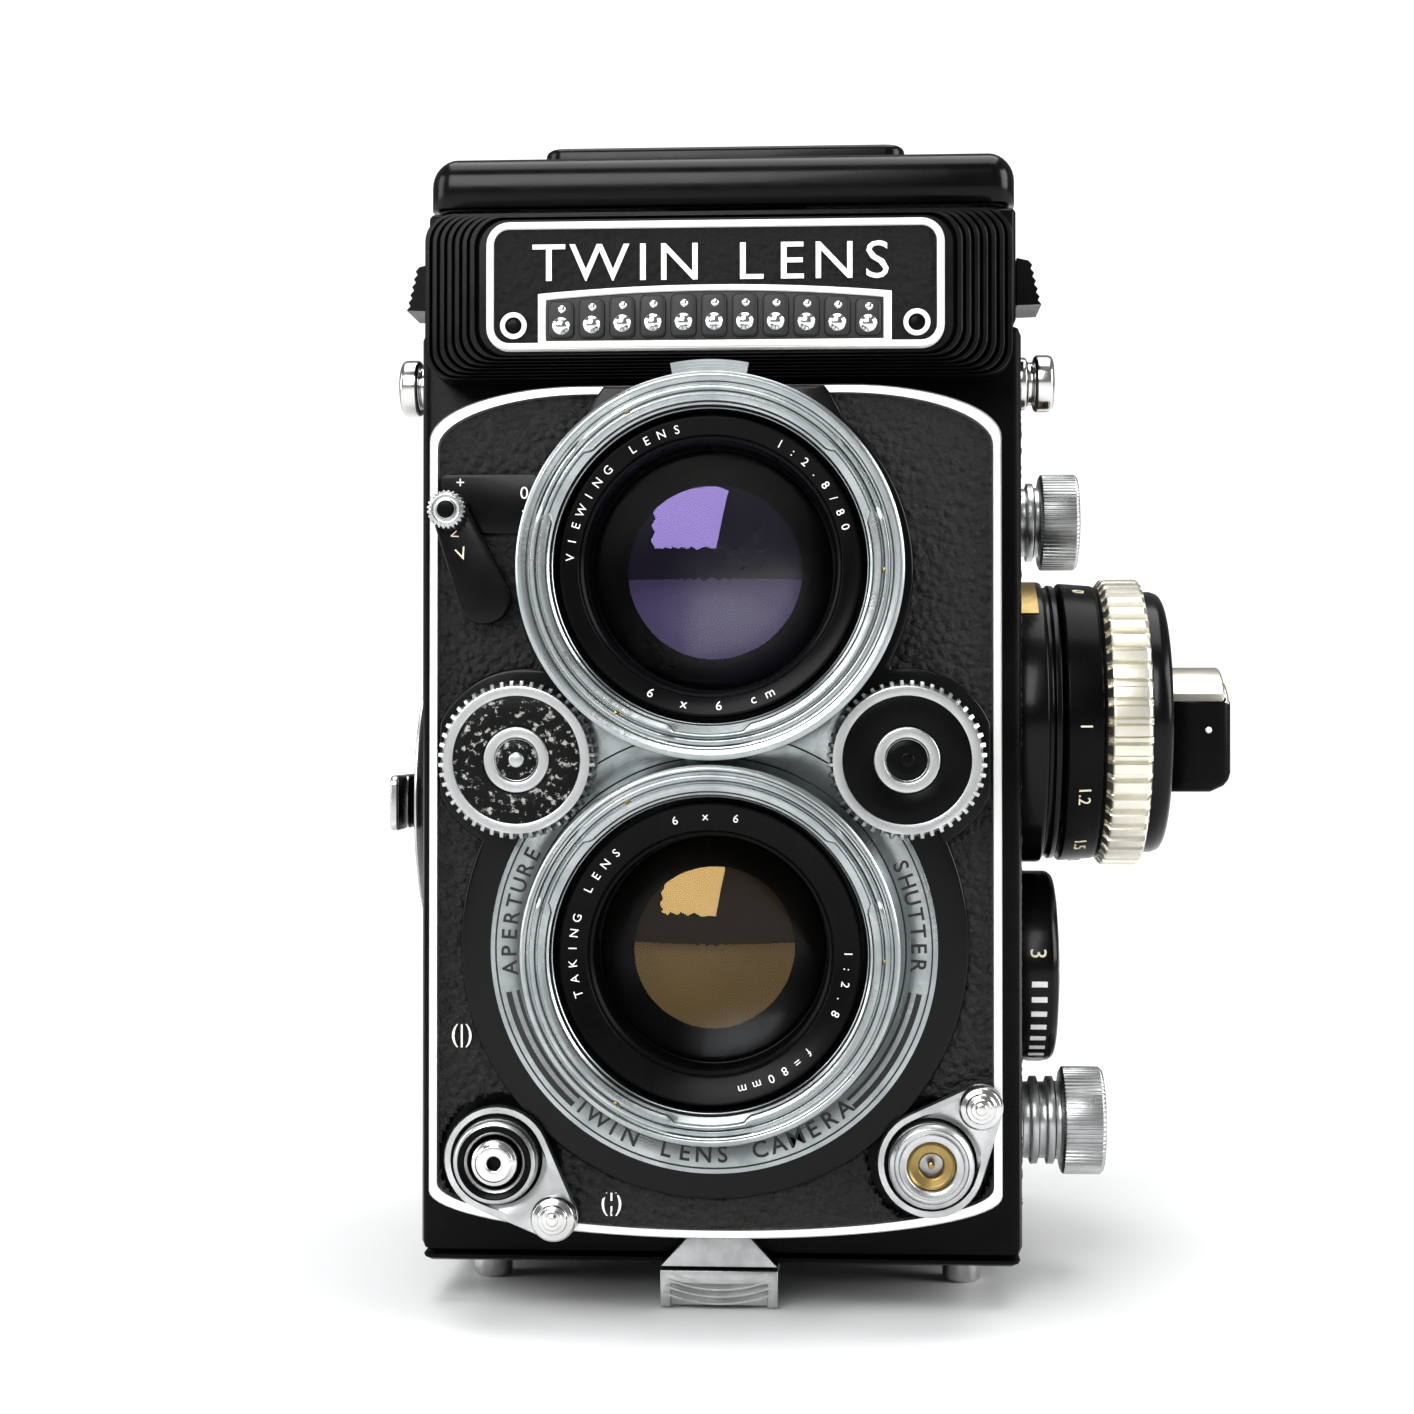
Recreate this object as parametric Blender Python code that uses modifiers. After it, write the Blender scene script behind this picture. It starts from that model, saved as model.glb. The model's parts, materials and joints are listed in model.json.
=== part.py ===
"""A twin lens reflex camera for 6 x 6 cm roll film, built as separate pieces.

Millimetres are used throughout and turned into metres by MM.  The front of the
camera faces -Y and +Z is up.  Before the final shift the plane of the two lens
axes is X = 0, the ground is Z = 0 and the body is centred near Y = 0.
"""
import math

import bmesh
import bpy
from mathutils import Matrix, Vector

MM = 0.001
GAP = 0.3                    # play between pieces that touch

# Body casting
BODY_HALF_WIDTH = 35.0
BODY_FRONT = -36.0
BODY_BACK = 30.0
BODY_BOTTOM = 6.0
BODY_TOP = 114.0
WALL = 2.2
FILM_GATE_SIZE = 56.0

# Lens axes
VIEW_Z = 84.7
TAKE_Z = 42.7
PANEL_FRONT = -47.4
PANEL_BACK = -37.0
PANEL_HALF_WIDTH = 32.0
PANEL_BOTTOM = 10.4
PANEL_TOP = 105.5
BAYONET_FRONT = -58.0
VIEW_MOUNT_RADIUS = 21.1
TAKE_MOUNT_RADIUS = 20.6
BARREL_RADIUS = 19.5
TUBE_RADIUS = 16.4
MASK_RADIUS = 24.8

# Controls on the lens panel
WHEEL_X = 21.3
WHEEL_Z = 63.7
WHEEL_RADIUS = 8.7
CORNER_X = 24.0              # the release and the flash socket
CORNER_Z = 19.3
TIMER_X = -25.5
TIMER_Z = 81.7

# Film path
SPOOL_RADIUS = 12.3
SUPPLY_Y = -14.0
SUPPLY_Z = 18.6
TAKEUP_Y = 18.5
TAKEUP_Z = 95.6
ROLLER_Y = 25.5

# Focus knob and dial on the right side
KNOB_Y = -12.0
KNOB_Z = 68.0
KNOB_RADIUS = 17.8
HUB_RADIUS = 17.5
DIAL_Z = 37.6
DIAL_RADIUS = 11.8
BLOCK_END = 61.8

# Crank on the left side
CRANK_Y = -5.0
CRANK_Z = 58.0
CRANK_FACE = -39.8
CRANK_END = -41.2
CRANK_HALF = 3.4

# Hood
HOOD_HALF_WIDTH = 34.5
HOOD_FRONT = -34.0
HOOD_BACK = 30.5
HOOD_RIM = 128.0
LID_TOP = 135.0
LID_HINGE_Y = -33.4
LID_HINGE_Z = 129.2
FLAP_LEVEL = 127.0
FLAP_LENGTH = 22.0
FINDER_TOP = 137.6

# Back cover
COVER_BACK = 37.8
COVER_TOP = 113.0
COVER_BOTTOM = 4.9
COVER_HINGE_Y = 31.4
FOOT_X = 28.7
FOOT_RADIUS = 2.6
LATCH_HALF = 6.8
SOCKET_BOSS = 5.0

# The origin sits under the middle of the whole camera's box.
CENTRE_X = (BLOCK_END + CRANK_END) / 2
CENTRE_Y = (BAYONET_FRONT + COVER_BACK) / 2

FRONT = (math.pi / 2, 0.0, 0.0)
RIGHT = (0.0, math.pi / 2, 0.0)
LEFT = (0.0, -math.pi / 2, 0.0)
UP = (0.0, 0.0, 0.0)

PAINTS = {
    "black_enamel": ((0.012, 0.012, 0.013), 0.35, 0.0),
    "black_metal": ((0.02, 0.02, 0.021), 0.45, 0.6),
    "leather": ((0.018, 0.017, 0.016), 0.75, 0.0),
    "chrome": ((0.75, 0.75, 0.74), 0.18, 1.0),
    "satin": ((0.62, 0.62, 0.61), 0.32, 1.0),
    "glass": ((0.09, 0.06, 0.14), 0.05, 0.0),
    "plastic": ((0.85, 0.84, 0.78), 0.3, 0.0),
}


# ---------------------------------------------------------------- scene set-up

def clear_scene():
    for old in list(bpy.data.objects):
        bpy.data.objects.remove(old, do_unlink=True)


def new_collection(name):
    collection = bpy.data.collections.new(name)
    bpy.context.scene.collection.children.link(collection)
    return collection


def material_for(node, paint):
    colour, roughness, metallic = PAINTS[paint]
    material = bpy.data.materials.new(node + "_finish")
    material.use_nodes = True
    shader = material.node_tree.nodes["Principled BSDF"]
    shader.inputs["Base Color"].default_value = (*colour, 1.0)
    shader.inputs["Roughness"].default_value = roughness
    shader.inputs["Metallic"].default_value = metallic
    return material


def place(name, mesh, paint, centre=(0, 0, 0), facing=UP):
    """Make an object from a mesh; without a paint it is a cutter."""
    thing = bpy.data.objects.new(name, mesh)
    thing.location = Vector(centre) * MM
    thing.rotation_euler = facing
    thing.parent = camera_base
    if paint is None:
        cutters.objects.link(thing)
        thing.hide_render = True
        thing.display_type = "WIRE"
    else:
        parts.objects.link(thing)
        mesh.materials.clear()
        mesh.materials.append(material_for(name, paint))
    return thing


# ---------------------------------------------------------------- shape makers

def box(name, x, y, z, paint=None, bevel=0.0):
    """A box between pairs of limits along X, Y and Z."""
    size = Vector((x[1] - x[0], y[1] - y[0], z[1] - z[0])) * MM
    shape = bmesh.new()
    bmesh.ops.create_cube(shape, size=1.0, matrix=Matrix.Diagonal((*size, 1.0)))
    mesh = bpy.data.meshes.new(name)
    shape.to_mesh(mesh)
    shape.free()
    middle = ((x[0] + x[1]) / 2, (y[0] + y[1]) / 2, (z[0] + z[1]) / 2)
    thing = place(name, mesh, paint, middle)
    if bevel:
        edge = thing.modifiers.new("edges", "BEVEL")
        edge.width = bevel * MM
        edge.segments = 2
        edge.limit_method = "ANGLE"
    return thing


def turned(name, profile, centre, facing, paint=None, steps=32):
    """Turn a profile of (radius, height) points about the local Z axis.

    The points run down the outer side.  A profile that touches the axis at both
    ends is a solid; any other is closed into a ring.
    """
    mesh = bpy.data.meshes.new(name)
    points = [(radius * MM, 0.0, height * MM) for radius, height in profile]
    edges = [(i, i + 1) for i in range(len(points) - 1)]
    if profile[0][0] > 0 or profile[-1][0] > 0:
        edges.append((len(points) - 1, 0))
    mesh.from_pydata(points, edges, [])
    thing = place(name, mesh, paint, centre, facing)
    screw = thing.modifiers.new("turn", "SCREW")
    screw.steps = steps
    screw.render_steps = steps
    screw.use_merge_vertices = True
    screw.merge_threshold = 0.00001
    screw.use_normal_calculate = False
    screw.use_smooth_shade = True
    return thing


def ring(inner, outer, low, high):
    return [(inner, high), (outer, high), (outer, low), (inner, low)]


def drum(radius, low, high):
    return [(0, high), (radius, high), (radius, low), (0, low)]


def drill(name, radius, centre, facing, low, high, steps=32):
    return turned(name, drum(radius, low, high), centre, facing, steps=steps)


def arc(centre, radius, start, end, count):
    """Points on an arc, from start to end in degrees."""
    angles = [math.radians(start + (end - start) * i / count) for i in range(count + 1)]
    return [(centre[0] + radius * math.cos(a), centre[1] + radius * math.sin(a)) for a in angles]


def rounded(half_x, low, high, radius, count=4):
    """The outline of a rectangle with round corners, symmetric about X = 0."""
    return (arc((half_x - radius, high - radius), radius, 0, 90, count)
            + arc((radius - half_x, high - radius), radius, 90, 180, count)
            + arc((radius - half_x, low + radius), radius, 180, 270, count)
            + arc((half_x - radius, low + radius), radius, 270, 360, count))


def teardrop(start, start_radius, end, end_radius, count=10):
    """The outline of a tapered arm with two round ends."""
    run = Vector(end) - Vector(start)
    heading = math.degrees(math.atan2(run.y, run.x))
    lean = math.degrees(math.asin((start_radius - end_radius) / run.length))
    return (arc(start, start_radius, heading + 90 - lean, heading + 270 + lean, count)
            + arc(end, end_radius, heading - 90 + lean, heading + 90 - lean, count))


def plate(name, outline, low, high, facing, paint=None, along=0.0):
    """Extrude a flat outline from low to high along its facing direction."""
    curve = bpy.data.curves.new(name, "CURVE")
    curve.dimensions = "2D"
    curve.fill_mode = "BOTH"
    curve.extrude = (high - low) / 2 * MM
    spline = curve.splines.new("POLY")
    spline.points.add(len(outline) - 1)
    for point, (across, up) in zip(spline.points, outline):
        point.co = (across * MM, up * MM, 0.0, 1.0)
    spline.use_cyclic_u = True
    guide = bpy.data.objects.new(name + "_outline", curve)
    parts.objects.link(guide)
    bpy.context.view_layer.update()
    evaluated = guide.evaluated_get(bpy.context.evaluated_depsgraph_get())
    mesh = bpy.data.meshes.new_from_object(evaluated)
    bpy.data.objects.remove(guide, do_unlink=True)
    shape = bmesh.new()
    shape.from_mesh(mesh)
    bmesh.ops.remove_doubles(shape, verts=shape.verts, dist=0.00001)
    bmesh.ops.dissolve_degenerate(shape, edges=shape.edges, dist=0.00001)
    bmesh.ops.recalc_face_normals(shape, faces=shape.faces)
    shape.to_mesh(mesh)
    shape.free()
    mesh.name = name
    direction = Matrix.Rotation(facing[0], 3, "X") @ Vector((0, 0, 1))
    if facing in (RIGHT, LEFT):
        direction = Vector((1 if facing == RIGHT else -1, 0, 0))
    centre = direction * ((low + high) / 2) + Vector((0, 0, along))
    return place(name, mesh, paint, centre, facing)


def combine(target, tools, operation):
    for tool in tools:
        change = target.modifiers.new(tool.name, "BOOLEAN")
        change.operation = operation
        change.solver = "EXACT"
        change.object = tool
    return target


def cut(target, *tools):
    return combine(target, tools, "DIFFERENCE")


def join(target, *tools):
    return combine(target, tools, "UNION")


def turn_on(thing, hinge):
    """Move an object's origin onto its joint's axis without moving its shape."""
    shift = thing.rotation_euler.to_matrix().inverted() @ (Vector(hinge) * MM - thing.location)
    thing.data.transform(Matrix.Translation(-shift))
    thing.location = Vector(hinge) * MM


def front_plate(name, outline, back, front, paint=None):
    """A plate parallel to the lens panel; back and front are Y positions."""
    return plate(name, outline, -back, -front, FRONT, paint)


# ---------------------------------------------------------------- body

def side_outline(name, points, half_width):
    """Extrude a (Y, Z) outline across the body."""
    tool = plate(name, points, -half_width, half_width, UP)
    tool.rotation_euler = (math.pi / 2, 0.0, math.pi / 2)
    tool.location = (0, 0, 0)
    return tool


def light_box_cutter():
    """The tapered tunnel between the taking lens and the film gate."""
    near = 15.0
    far = FILM_GATE_SIZE / 2
    tool = box("light_box_cutter", (-far, far), (-34, 29), (TAKE_Z - far, TAKE_Z + far))
    for vertex in tool.data.vertices:
        if vertex.co.y < 0:
            vertex.co.x *= near / far
            vertex.co.z *= near / far
    return tool


def body_casting():
    inner = BODY_HALF_WIDTH - WALL
    casting = box("body_casting", (-BODY_HALF_WIDTH, BODY_HALF_WIDTH), (BODY_FRONT, BODY_BACK),
                  (BODY_BOTTOM, BODY_TOP), "black_enamel", bevel=1.2)
    skirt = box("skirt_union", (-29, 29), (-44, -34), (13.5, 101.5))
    skirt_hollow = box("skirt_hollow", (-27.2, 27.2), (-45, BODY_FRONT), (15.5, 99.5))
    mirror_well = side_outline("mirror_well", [(-33, 68.2), (-30, 68.2), (12.5, 110.7), (24, 110.7),
                                               (24, 115), (-33, 115)], 28.5)
    takeup = drill("takeup_chamber", SPOOL_RADIUS + 0.9, (0, TAKEUP_Y, TAKEUP_Z), RIGHT, -inner, inner)
    takeup_mouth = box("takeup_mouth", (-inner, inner), (TAKEUP_Y, 31), (81.5, 108.5))
    supply = box("supply_chamber", (-inner, inner), (-28, 0), (5, 26.5))
    supply_round = drill("supply_round", SPOOL_RADIUS + 0.9, (0, SUPPLY_Y, SUPPLY_Z), RIGHT, -inner, inner)
    film_way = box("film_way", (-inner, inner), (-1, 31), (5, 13))
    gate_seat = box("gate_seat", (-inner, inner), (28, 31), (11, 75))
    upper_way = box("roller_well", (-inner, inner), (20.5, 31), (74, 83))
    view_hole = drill("view_hole", 15.5, (0, BODY_FRONT, VIEW_Z), FRONT, -4, 1)
    take_hole = drill("take_hole", 15.5, (0, BODY_FRONT, TAKE_Z), FRONT, -4, 1)
    shaft_hole = drill("upper_shaft_hole", 2.6, (30, TAKEUP_Y, TAKEUP_Z), RIGHT, 0, 8, 16)
    lower_hole = drill("lower_shaft_hole", 2.6, (30, SUPPLY_Y, SUPPLY_Z), RIGHT, 0, 8, 16)
    focus_hole = drill("focus_shaft_hole", 2.6, (28, KNOB_Y, KNOB_Z), RIGHT, 0, 8, 16)
    join(casting, skirt)
    cut(casting, skirt_hollow, mirror_well, takeup, takeup_mouth, supply, supply_round, film_way,
        gate_seat, upper_way, light_box_cutter(), view_hole, take_hole, shaft_hole, lower_hole,
        focus_hole)


def film_path():
    gate = box("film_gate", (-32.4, 32.4), (28.3, BODY_BACK), (11.5, 74), "black_metal")
    half = FILM_GATE_SIZE / 2
    cut(gate, box("gate_opening", (-half, half), (27, 31), (TAKE_Z - half, TAKE_Z + half)))
    for name, z in (("film_roller_lower", 8.4), ("film_roller_upper", 77.5)):
        turned(name, drum(2.2, -31.5, 31.5), (0, ROLLER_Y, z), RIGHT, "chrome", 16)
    spool = ([(2.9, 32), (SPOOL_RADIUS, 32), (SPOOL_RADIUS, 31), (6, 31), (6, -31),
              (SPOOL_RADIUS, -31), (SPOOL_RADIUS, -32), (2.9, -32)])
    turned("takeup_spool", spool, (0, TAKEUP_Y, TAKEUP_Z), RIGHT, "black_metal", 24)
    turned("supply_spool", spool, (0, SUPPLY_Y, SUPPLY_Z), RIGHT, "black_metal", 24)
    mirror = box("mirror", (-27, 27), (-0.6, 0.6), (-27, 27), "glass")
    mirror.rotation_euler = (-math.pi / 4, 0, 0)
    mirror.location = Vector((0, -9.3, 90.1)) * MM
    box("focusing_screen", (-30, 30), (-29, 27), (116.3, 117.6), "glass")


def strap_lugs():
    profile = [(0, 4.5), (2.4, 4.5), (3.3, 3.8), (3.3, 3.0), (2.2, 2.6), (2.2, 1.2), (3.0, 0.9),
               (3.0, 0), (0, 0)]
    edge = BODY_HALF_WIDTH + GAP
    turned("strap_lug_right", profile, (edge, -22, 109), RIGHT, "chrome", 20)
    turned("strap_lug_left", profile, (-edge, -22, 109), LEFT, "chrome", 20)


def meter_housing():
    outline = rounded(33.7, 107.2, 126.3, 3.0)
    housing = front_plate("meter_housing", outline, BODY_FRONT - GAP, -46.6, "black_enamel")
    edge = housing.modifiers.new("step", "BEVEL")
    edge.width = 0.9 * MM
    edge.segments = 1
    edge.limit_method = "ANGLE"
    edge.angle_limit = math.radians(60)
    front_plate("name_plate", rounded(25.7, 109.6, 124.1, 2.6), -46.9, -47.5, "black_metal")
    front_plate("meter_window", rounded(19.8, 110.7, 115.5, 0.6, 2), -47.8, -48.4, "plastic")


# ---------------------------------------------------------------- lens panel

def panel_outline(inset=0.0):
    """Straight sides, a shallow arc below, and shoulders that curve in above."""
    half = PANEL_HALF_WIDTH - inset
    low = PANEL_BOTTOM + inset
    high = PANEL_TOP - inset
    below = [(half * math.sin(math.radians(a)), low + 5 * (1 - math.cos(math.radians(a))))
             for a in range(-90, 91, 15)]
    shoulder = [(half - 17 + 17 * math.cos(math.radians(a)), high - 6 + 6 * math.sin(math.radians(a)))
                for a in range(0, 91, 15)]
    return below + shoulder + [(-x, z) for x, z in reversed(shoulder)]


def lens_panel():
    shell = front_plate("front_panel", panel_outline(), PANEL_BACK, PANEL_FRONT, "black_enamel")
    hollow = box("panel_hollow", (-29.5, 29.5), (-45.2, -36), (13, 102))
    view = drill("panel_view_hole", 16.8, (0, PANEL_FRONT, VIEW_Z), FRONT, -4, 3)
    take = drill("panel_take_hole", 16.8, (0, PANEL_FRONT, TAKE_Z), FRONT, -4, 3)
    release = drill("panel_release_hole", 2.9, (-CORNER_X, PANEL_FRONT, CORNER_Z), FRONT, -4, 3, 16)
    cut(shell, hollow, view, take, release)
    leather = front_plate("panel_leather", panel_outline(0.9), PANEL_FRONT - GAP, PANEL_FRONT - 0.9,
                          "leather")
    holes = [drill("leather_view_hole", BARREL_RADIUS + 0.6, (0, -48, VIEW_Z), FRONT, -3, 3),
             drill("leather_take_hole", MASK_RADIUS - 1.0, (0, -48, TAKE_Z), FRONT, -3, 3),
             drill("leather_release_hole", 6.6, (-CORNER_X, -48, CORNER_Z), FRONT, -3, 3, 24),
             drill("leather_socket_hole", 6.6, (CORNER_X, -48, CORNER_Z), FRONT, -3, 3, 24),
             drill("leather_timer_hole", 2.0, (TIMER_X, -48, TIMER_Z), FRONT, -3, 3, 16),
             drill("leather_left_wheel_hole", 3.4, (-WHEEL_X, -48, WHEEL_Z), FRONT, -3, 3, 16),
             drill("leather_right_wheel_hole", 3.4, (WHEEL_X, -48, WHEEL_Z), FRONT, -3, 3, 16)]
    cut(leather, *holes)


def bayonet(name, z, radius):
    """A mounting ring whose wider front flange stands in front of the wheels."""
    profile = [(17.0, 10.3), (18.4, 10.3), (18.7, 9.9), (radius - 0.4, 9.9), (radius, 9.3),
               (radius, 8.0), (BARREL_RADIUS, 8.0), (BARREL_RADIUS, 0), (17.0, 0)]
    turned(name, profile, (0, BAYONET_FRONT + 10.3, z), FRONT, "chrome", 48)


def lens(name, radius, rim, bulge, y, z, rings=3):
    """A glass with a spherical front of the given bulge."""
    dome = (radius ** 2 + bulge ** 2) / (2 * bulge)
    front = [(radius * i / rings, math.sqrt(dome ** 2 - (radius * i / rings) ** 2) - dome + bulge)
             for i in range(rings + 1)]
    profile = [(r, h + rim) for r, h in front] + [(radius, 0), (0, 0)]
    turned(name, profile, (0, y, z), FRONT, "glass", 32)


def lens_tubes():
    """The black tubes; the sloped front face carries the figures."""
    view = [(13.7, 7.0), (16.2, 8.6), (TUBE_RADIUS, 8.4), (TUBE_RADIUS, -3.0), (10.5, -3.0),
            (10.5, 0), (12.4, 0.6), (13.7, 1.2)]
    turned("viewing_barrel", view, (0, PANEL_FRONT, VIEW_Z), FRONT, "black_metal", 40)
    take = [(12.9, 7.2), (16.2, 8.6), (TUBE_RADIUS, 8.4), (TUBE_RADIUS, -8.0),
            (10.5, -8.0), (10.5, 0), (12.9, 1.0)]
    turned("shutter_housing", take, (0, PANEL_FRONT, TAKE_Z), FRONT, "black_metal", 40)
    lens("viewing_glass", 13.2, 1.2, 2.6, PANEL_FRONT - 1.5, VIEW_Z)
    lens("taking_glass", 12.4, 1.4, 3.0, PANEL_FRONT - 1.6, TAKE_Z)
    turned("shutter_blades", ring(3.0, 10.0, 0, 0.8), (0, PANEL_FRONT + 3.0, TAKE_Z), FRONT,
           "black_metal", 24)
    mask = turned("mask_plate", ring(BARREL_RADIUS + GAP, MASK_RADIUS, 0.95, 2.1),
                  (0, PANEL_FRONT - GAP, TAKE_Z), FRONT, "satin", 48)
    cut(mask, drill("mask_view_hole", BARREL_RADIUS + 0.5, (0, -48, VIEW_Z), FRONT, -3, 4, 48))


def wheels():
    """Setting wheels: a knurled rim on a hub that reaches the panel."""
    profile = [(0, 7.2), (2.0, 7.2), (2.2, 6.8), (7.6, 6.8), (WHEEL_RADIUS, 6.4), (WHEEL_RADIUS, 4.0),
               (3.0, 3.6), (3.0, 0.3), (0, 0.3)]
    for name, x in (("aperture_wheel", -WHEEL_X), ("speed_wheel", WHEEL_X)):
        turned(name, profile, (x, PANEL_FRONT, WHEEL_Z), FRONT, "satin", 32)


def lock_lever(name, pivot_x, tip, tip_radius):
    """An arm round a fixed collar, with a round finger dome at its tip."""
    pivot = (pivot_x, CORNER_Z)
    end = (pivot_x + tip[0], CORNER_Z + tip[1])
    outline = teardrop(pivot, 6.0, end, tip_radius)
    arm = front_plate(name, outline, PANEL_FRONT - 1.3, PANEL_FRONT - 2.7, "satin")
    knob = [(0, 2.4), (1.2, 2.2), (tip_radius - 0.3, 1.3), (tip_radius - 0.1, -0.7), (0, -0.7)]
    dome = turned(name + "_dome", knob, (end[0], PANEL_FRONT - 2.7, end[1]), FRONT, steps=16)
    hole = drill(name + "_hole", 5.0, (pivot_x, PANEL_FRONT - 2, CORNER_Z), FRONT, -3, 3, 24)
    join(arm, dome)
    cut(arm, hole)
    turn_on(arm, (pivot_x, PANEL_FRONT - 2, CORNER_Z))


def corner_controls():
    turned("release_collar", [(3.0, 4.4), (3.9, 4.9), (4.7, 4.2), (4.7, 0.3), (3.0, 0.3)],
           (-CORNER_X, PANEL_FRONT, CORNER_Z), FRONT, "chrome", 24)
    button = [(0.7, 5.4), (2.1, 5.4), (2.6, 4.9), (2.6, -0.6), (0, -0.6), (0, 2.5), (0.7, 2.5)]
    turned("release_button", button, (-CORNER_X, PANEL_FRONT, CORNER_Z), FRONT, "chrome", 20)
    socket = [(0, 3.4), (0.5, 3.4), (0.5, 1.2), (1.9, 1.2), (1.9, 4.6), (3.6, 4.9), (4.7, 4.3),
              (4.7, 0.3), (0, 0.3)]
    turned("sync_socket", socket, (CORNER_X, PANEL_FRONT, CORNER_Z), FRONT, "chrome", 24)
    lock_lever("release_lock", -CORNER_X, (6.4, -6.3), 2.6)
    lock_lever("sync_lock", CORNER_X, (5.4, 6.3), 2.5)


def timer_lever():
    tip = (TIMER_X - 4.0, TIMER_Z + 9.7)
    arm = front_plate("timer_lever", teardrop((TIMER_X, TIMER_Z), 3.0, tip, 2.0),
                      PANEL_FRONT - 1.3, PANEL_FRONT - 2.6, "black_metal")
    knob = turned("timer_knob", [(0, 2.0), (1.0, 1.7), (2.2, 1.5), (2.2, -0.6), (0, -0.6)],
                  (tip[0], PANEL_FRONT - 2.6, tip[1]), FRONT, steps=16)
    stud = turned("timer_stud", drum(1.6, -0.5, 2.0), (TIMER_X, PANEL_FRONT - 0.9, TIMER_Z), FRONT,
                  steps=16)
    join(arm, knob, stud)
    turn_on(arm, (TIMER_X, PANEL_FRONT - 2, TIMER_Z))


# ---------------------------------------------------------------- right side

def focus_group():
    edge = BODY_HALF_WIDTH + GAP
    hub = [(0, 18.5), (2.4, 18.5), (2.4, 5.2), (HUB_RADIUS - 0.4, 5.2), (HUB_RADIUS, 4.8),
           (HUB_RADIUS, 0), (2.3, 0), (2.3, -5.5), (0, -5.5)]
    turned("focus_hub", hub, (edge, KNOB_Y, KNOB_Z), RIGHT, "black_enamel", 40)
    cone = [(2.8, 9.9), (16.9, 9.9), (17.3, 5.5), (2.8, 5.5)]
    turned("focus_cone", cone, (edge, KNOB_Y, KNOB_Z), RIGHT, "black_enamel", 40)
    grip = [(2.8, 18.4), (15.2, 18.4), (16.2, 17.6), (16.2, 15.8), (17.2, 15.8), (KNOB_RADIUS, 15.2),
            (KNOB_RADIUS, 10.9), (17.2, 10.2), (2.8, 10.2)]
    turned("focus_ring", grip, (edge, KNOB_Y, KNOB_Z), RIGHT, "satin", 48)
    box("readout_block", (edge + 18.8, BLOCK_END), (KNOB_Y - 6, KNOB_Y + 6), (KNOB_Z - 8.8, KNOB_Z + 8.8),
        "black_metal", bevel=1.0)
    dial = [(0, 5.4), (DIAL_RADIUS - 0.8, 5.4), (DIAL_RADIUS, 4.6), (DIAL_RADIUS, 0), (0, 0)]
    turned("compensation_dial", dial, (edge, KNOB_Y, DIAL_Z), RIGHT, "black_metal", 40)


def spool_knobs():
    """Sprung pull-out knobs whose shafts reach into the spool ends."""
    profile = [(0, 11.2), (4.6, 11.2), (5.2, 10.4), (6.2, 10.0), (6.6, 9.4), (6.6, 6.4), (5.6, 5.8),
               (5.6, 0), (2.3, 0), (2.3, -7), (0, -7)]
    edge = BODY_HALF_WIDTH + GAP
    turned("spool_knob_upper", profile, (edge, TAKEUP_Y, TAKEUP_Z), RIGHT, "chrome", 24)
    turned("spool_knob_lower", profile, (edge, SUPPLY_Y, SUPPLY_Z), RIGHT, "chrome", 24)


# ---------------------------------------------------------------- left side

def crank_group():
    dome = [(0, 4.5), (10, 4.2), (16, 3.4), (20, 1.8), (20, 0), (0, 0)]
    turned("crank_plate", dome, (-BODY_HALF_WIDTH - GAP, CRANK_Y, CRANK_Z), LEFT, "black_enamel", 40)
    arm = box("crank_arm", (CRANK_END, CRANK_FACE - GAP), (CRANK_Y - 11, CRANK_Y + 5),
              (CRANK_Z - CRANK_HALF, CRANK_Z + CRANK_HALF), "chrome", bevel=0.4)
    turn_on(arm, (CRANK_END, CRANK_Y, CRANK_Z))
    handle = box("crank_handle", (CRANK_END, CRANK_FACE - GAP), (CRANK_Y - 18, CRANK_Y - 11.3),
                 (CRANK_Z - CRANK_HALF, CRANK_Z + CRANK_HALF), "chrome", bevel=0.4)
    turn_on(handle, (CRANK_END, CRANK_Y - 11.3, CRANK_Z))


# ---------------------------------------------------------------- hood

def hood_base():
    half = HOOD_HALF_WIDTH
    tray = box("hood_base", (-half, half), (HOOD_FRONT, HOOD_BACK - 0.5), (BODY_TOP + GAP, HOOD_RIM),
               "black_enamel", bevel=0.6)
    well = box("hood_well", (-half + 2, half - 2), (HOOD_FRONT + 2, HOOD_BACK - 2.5), (116, 130))
    window = box("screen_window", (-28, 28), (-27, 24.5), (113, 117))
    cut(tray, well, window)
    for name, side in (("hood_tab_left", -1), ("hood_tab_right", 1)):
        near = side * (half + GAP)
        far = side * (half + 3.2)
        box(name, (min(near, far), max(near, far)), (-31, -22), (117, 122.6), "black_metal", bevel=0.5)


def flap(name, hinge, outline, yaw):
    """A mitred flap; its outline is (distance from the hinge, place along it)."""
    leaf = plate(name, outline, -0.5, 0.5, UP, "black_enamel")
    leaf.rotation_euler = (0, 0, yaw)
    leaf.location = Vector(hinge) * MM


def hood_flaps():
    side = [(0.2, -31.0), (FLAP_LENGTH, -9.5), (FLAP_LENGTH, 4.5), (0.2, 26.0)]
    mirrored = [(u, -y) for u, y in reversed(side)]
    flap("flap_left", (-31.7, 0, FLAP_LEVEL), side, 0.0)
    flap("flap_right", (31.7, 0, FLAP_LEVEL), mirrored, math.pi)
    rear = [(0.2, -30.5), (FLAP_LENGTH, -9.0), (FLAP_LENGTH, 9.0), (0.2, 30.5)]
    flap("flap_rear", (0, 27.4, FLAP_LEVEL), rear, -math.pi / 2)


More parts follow.
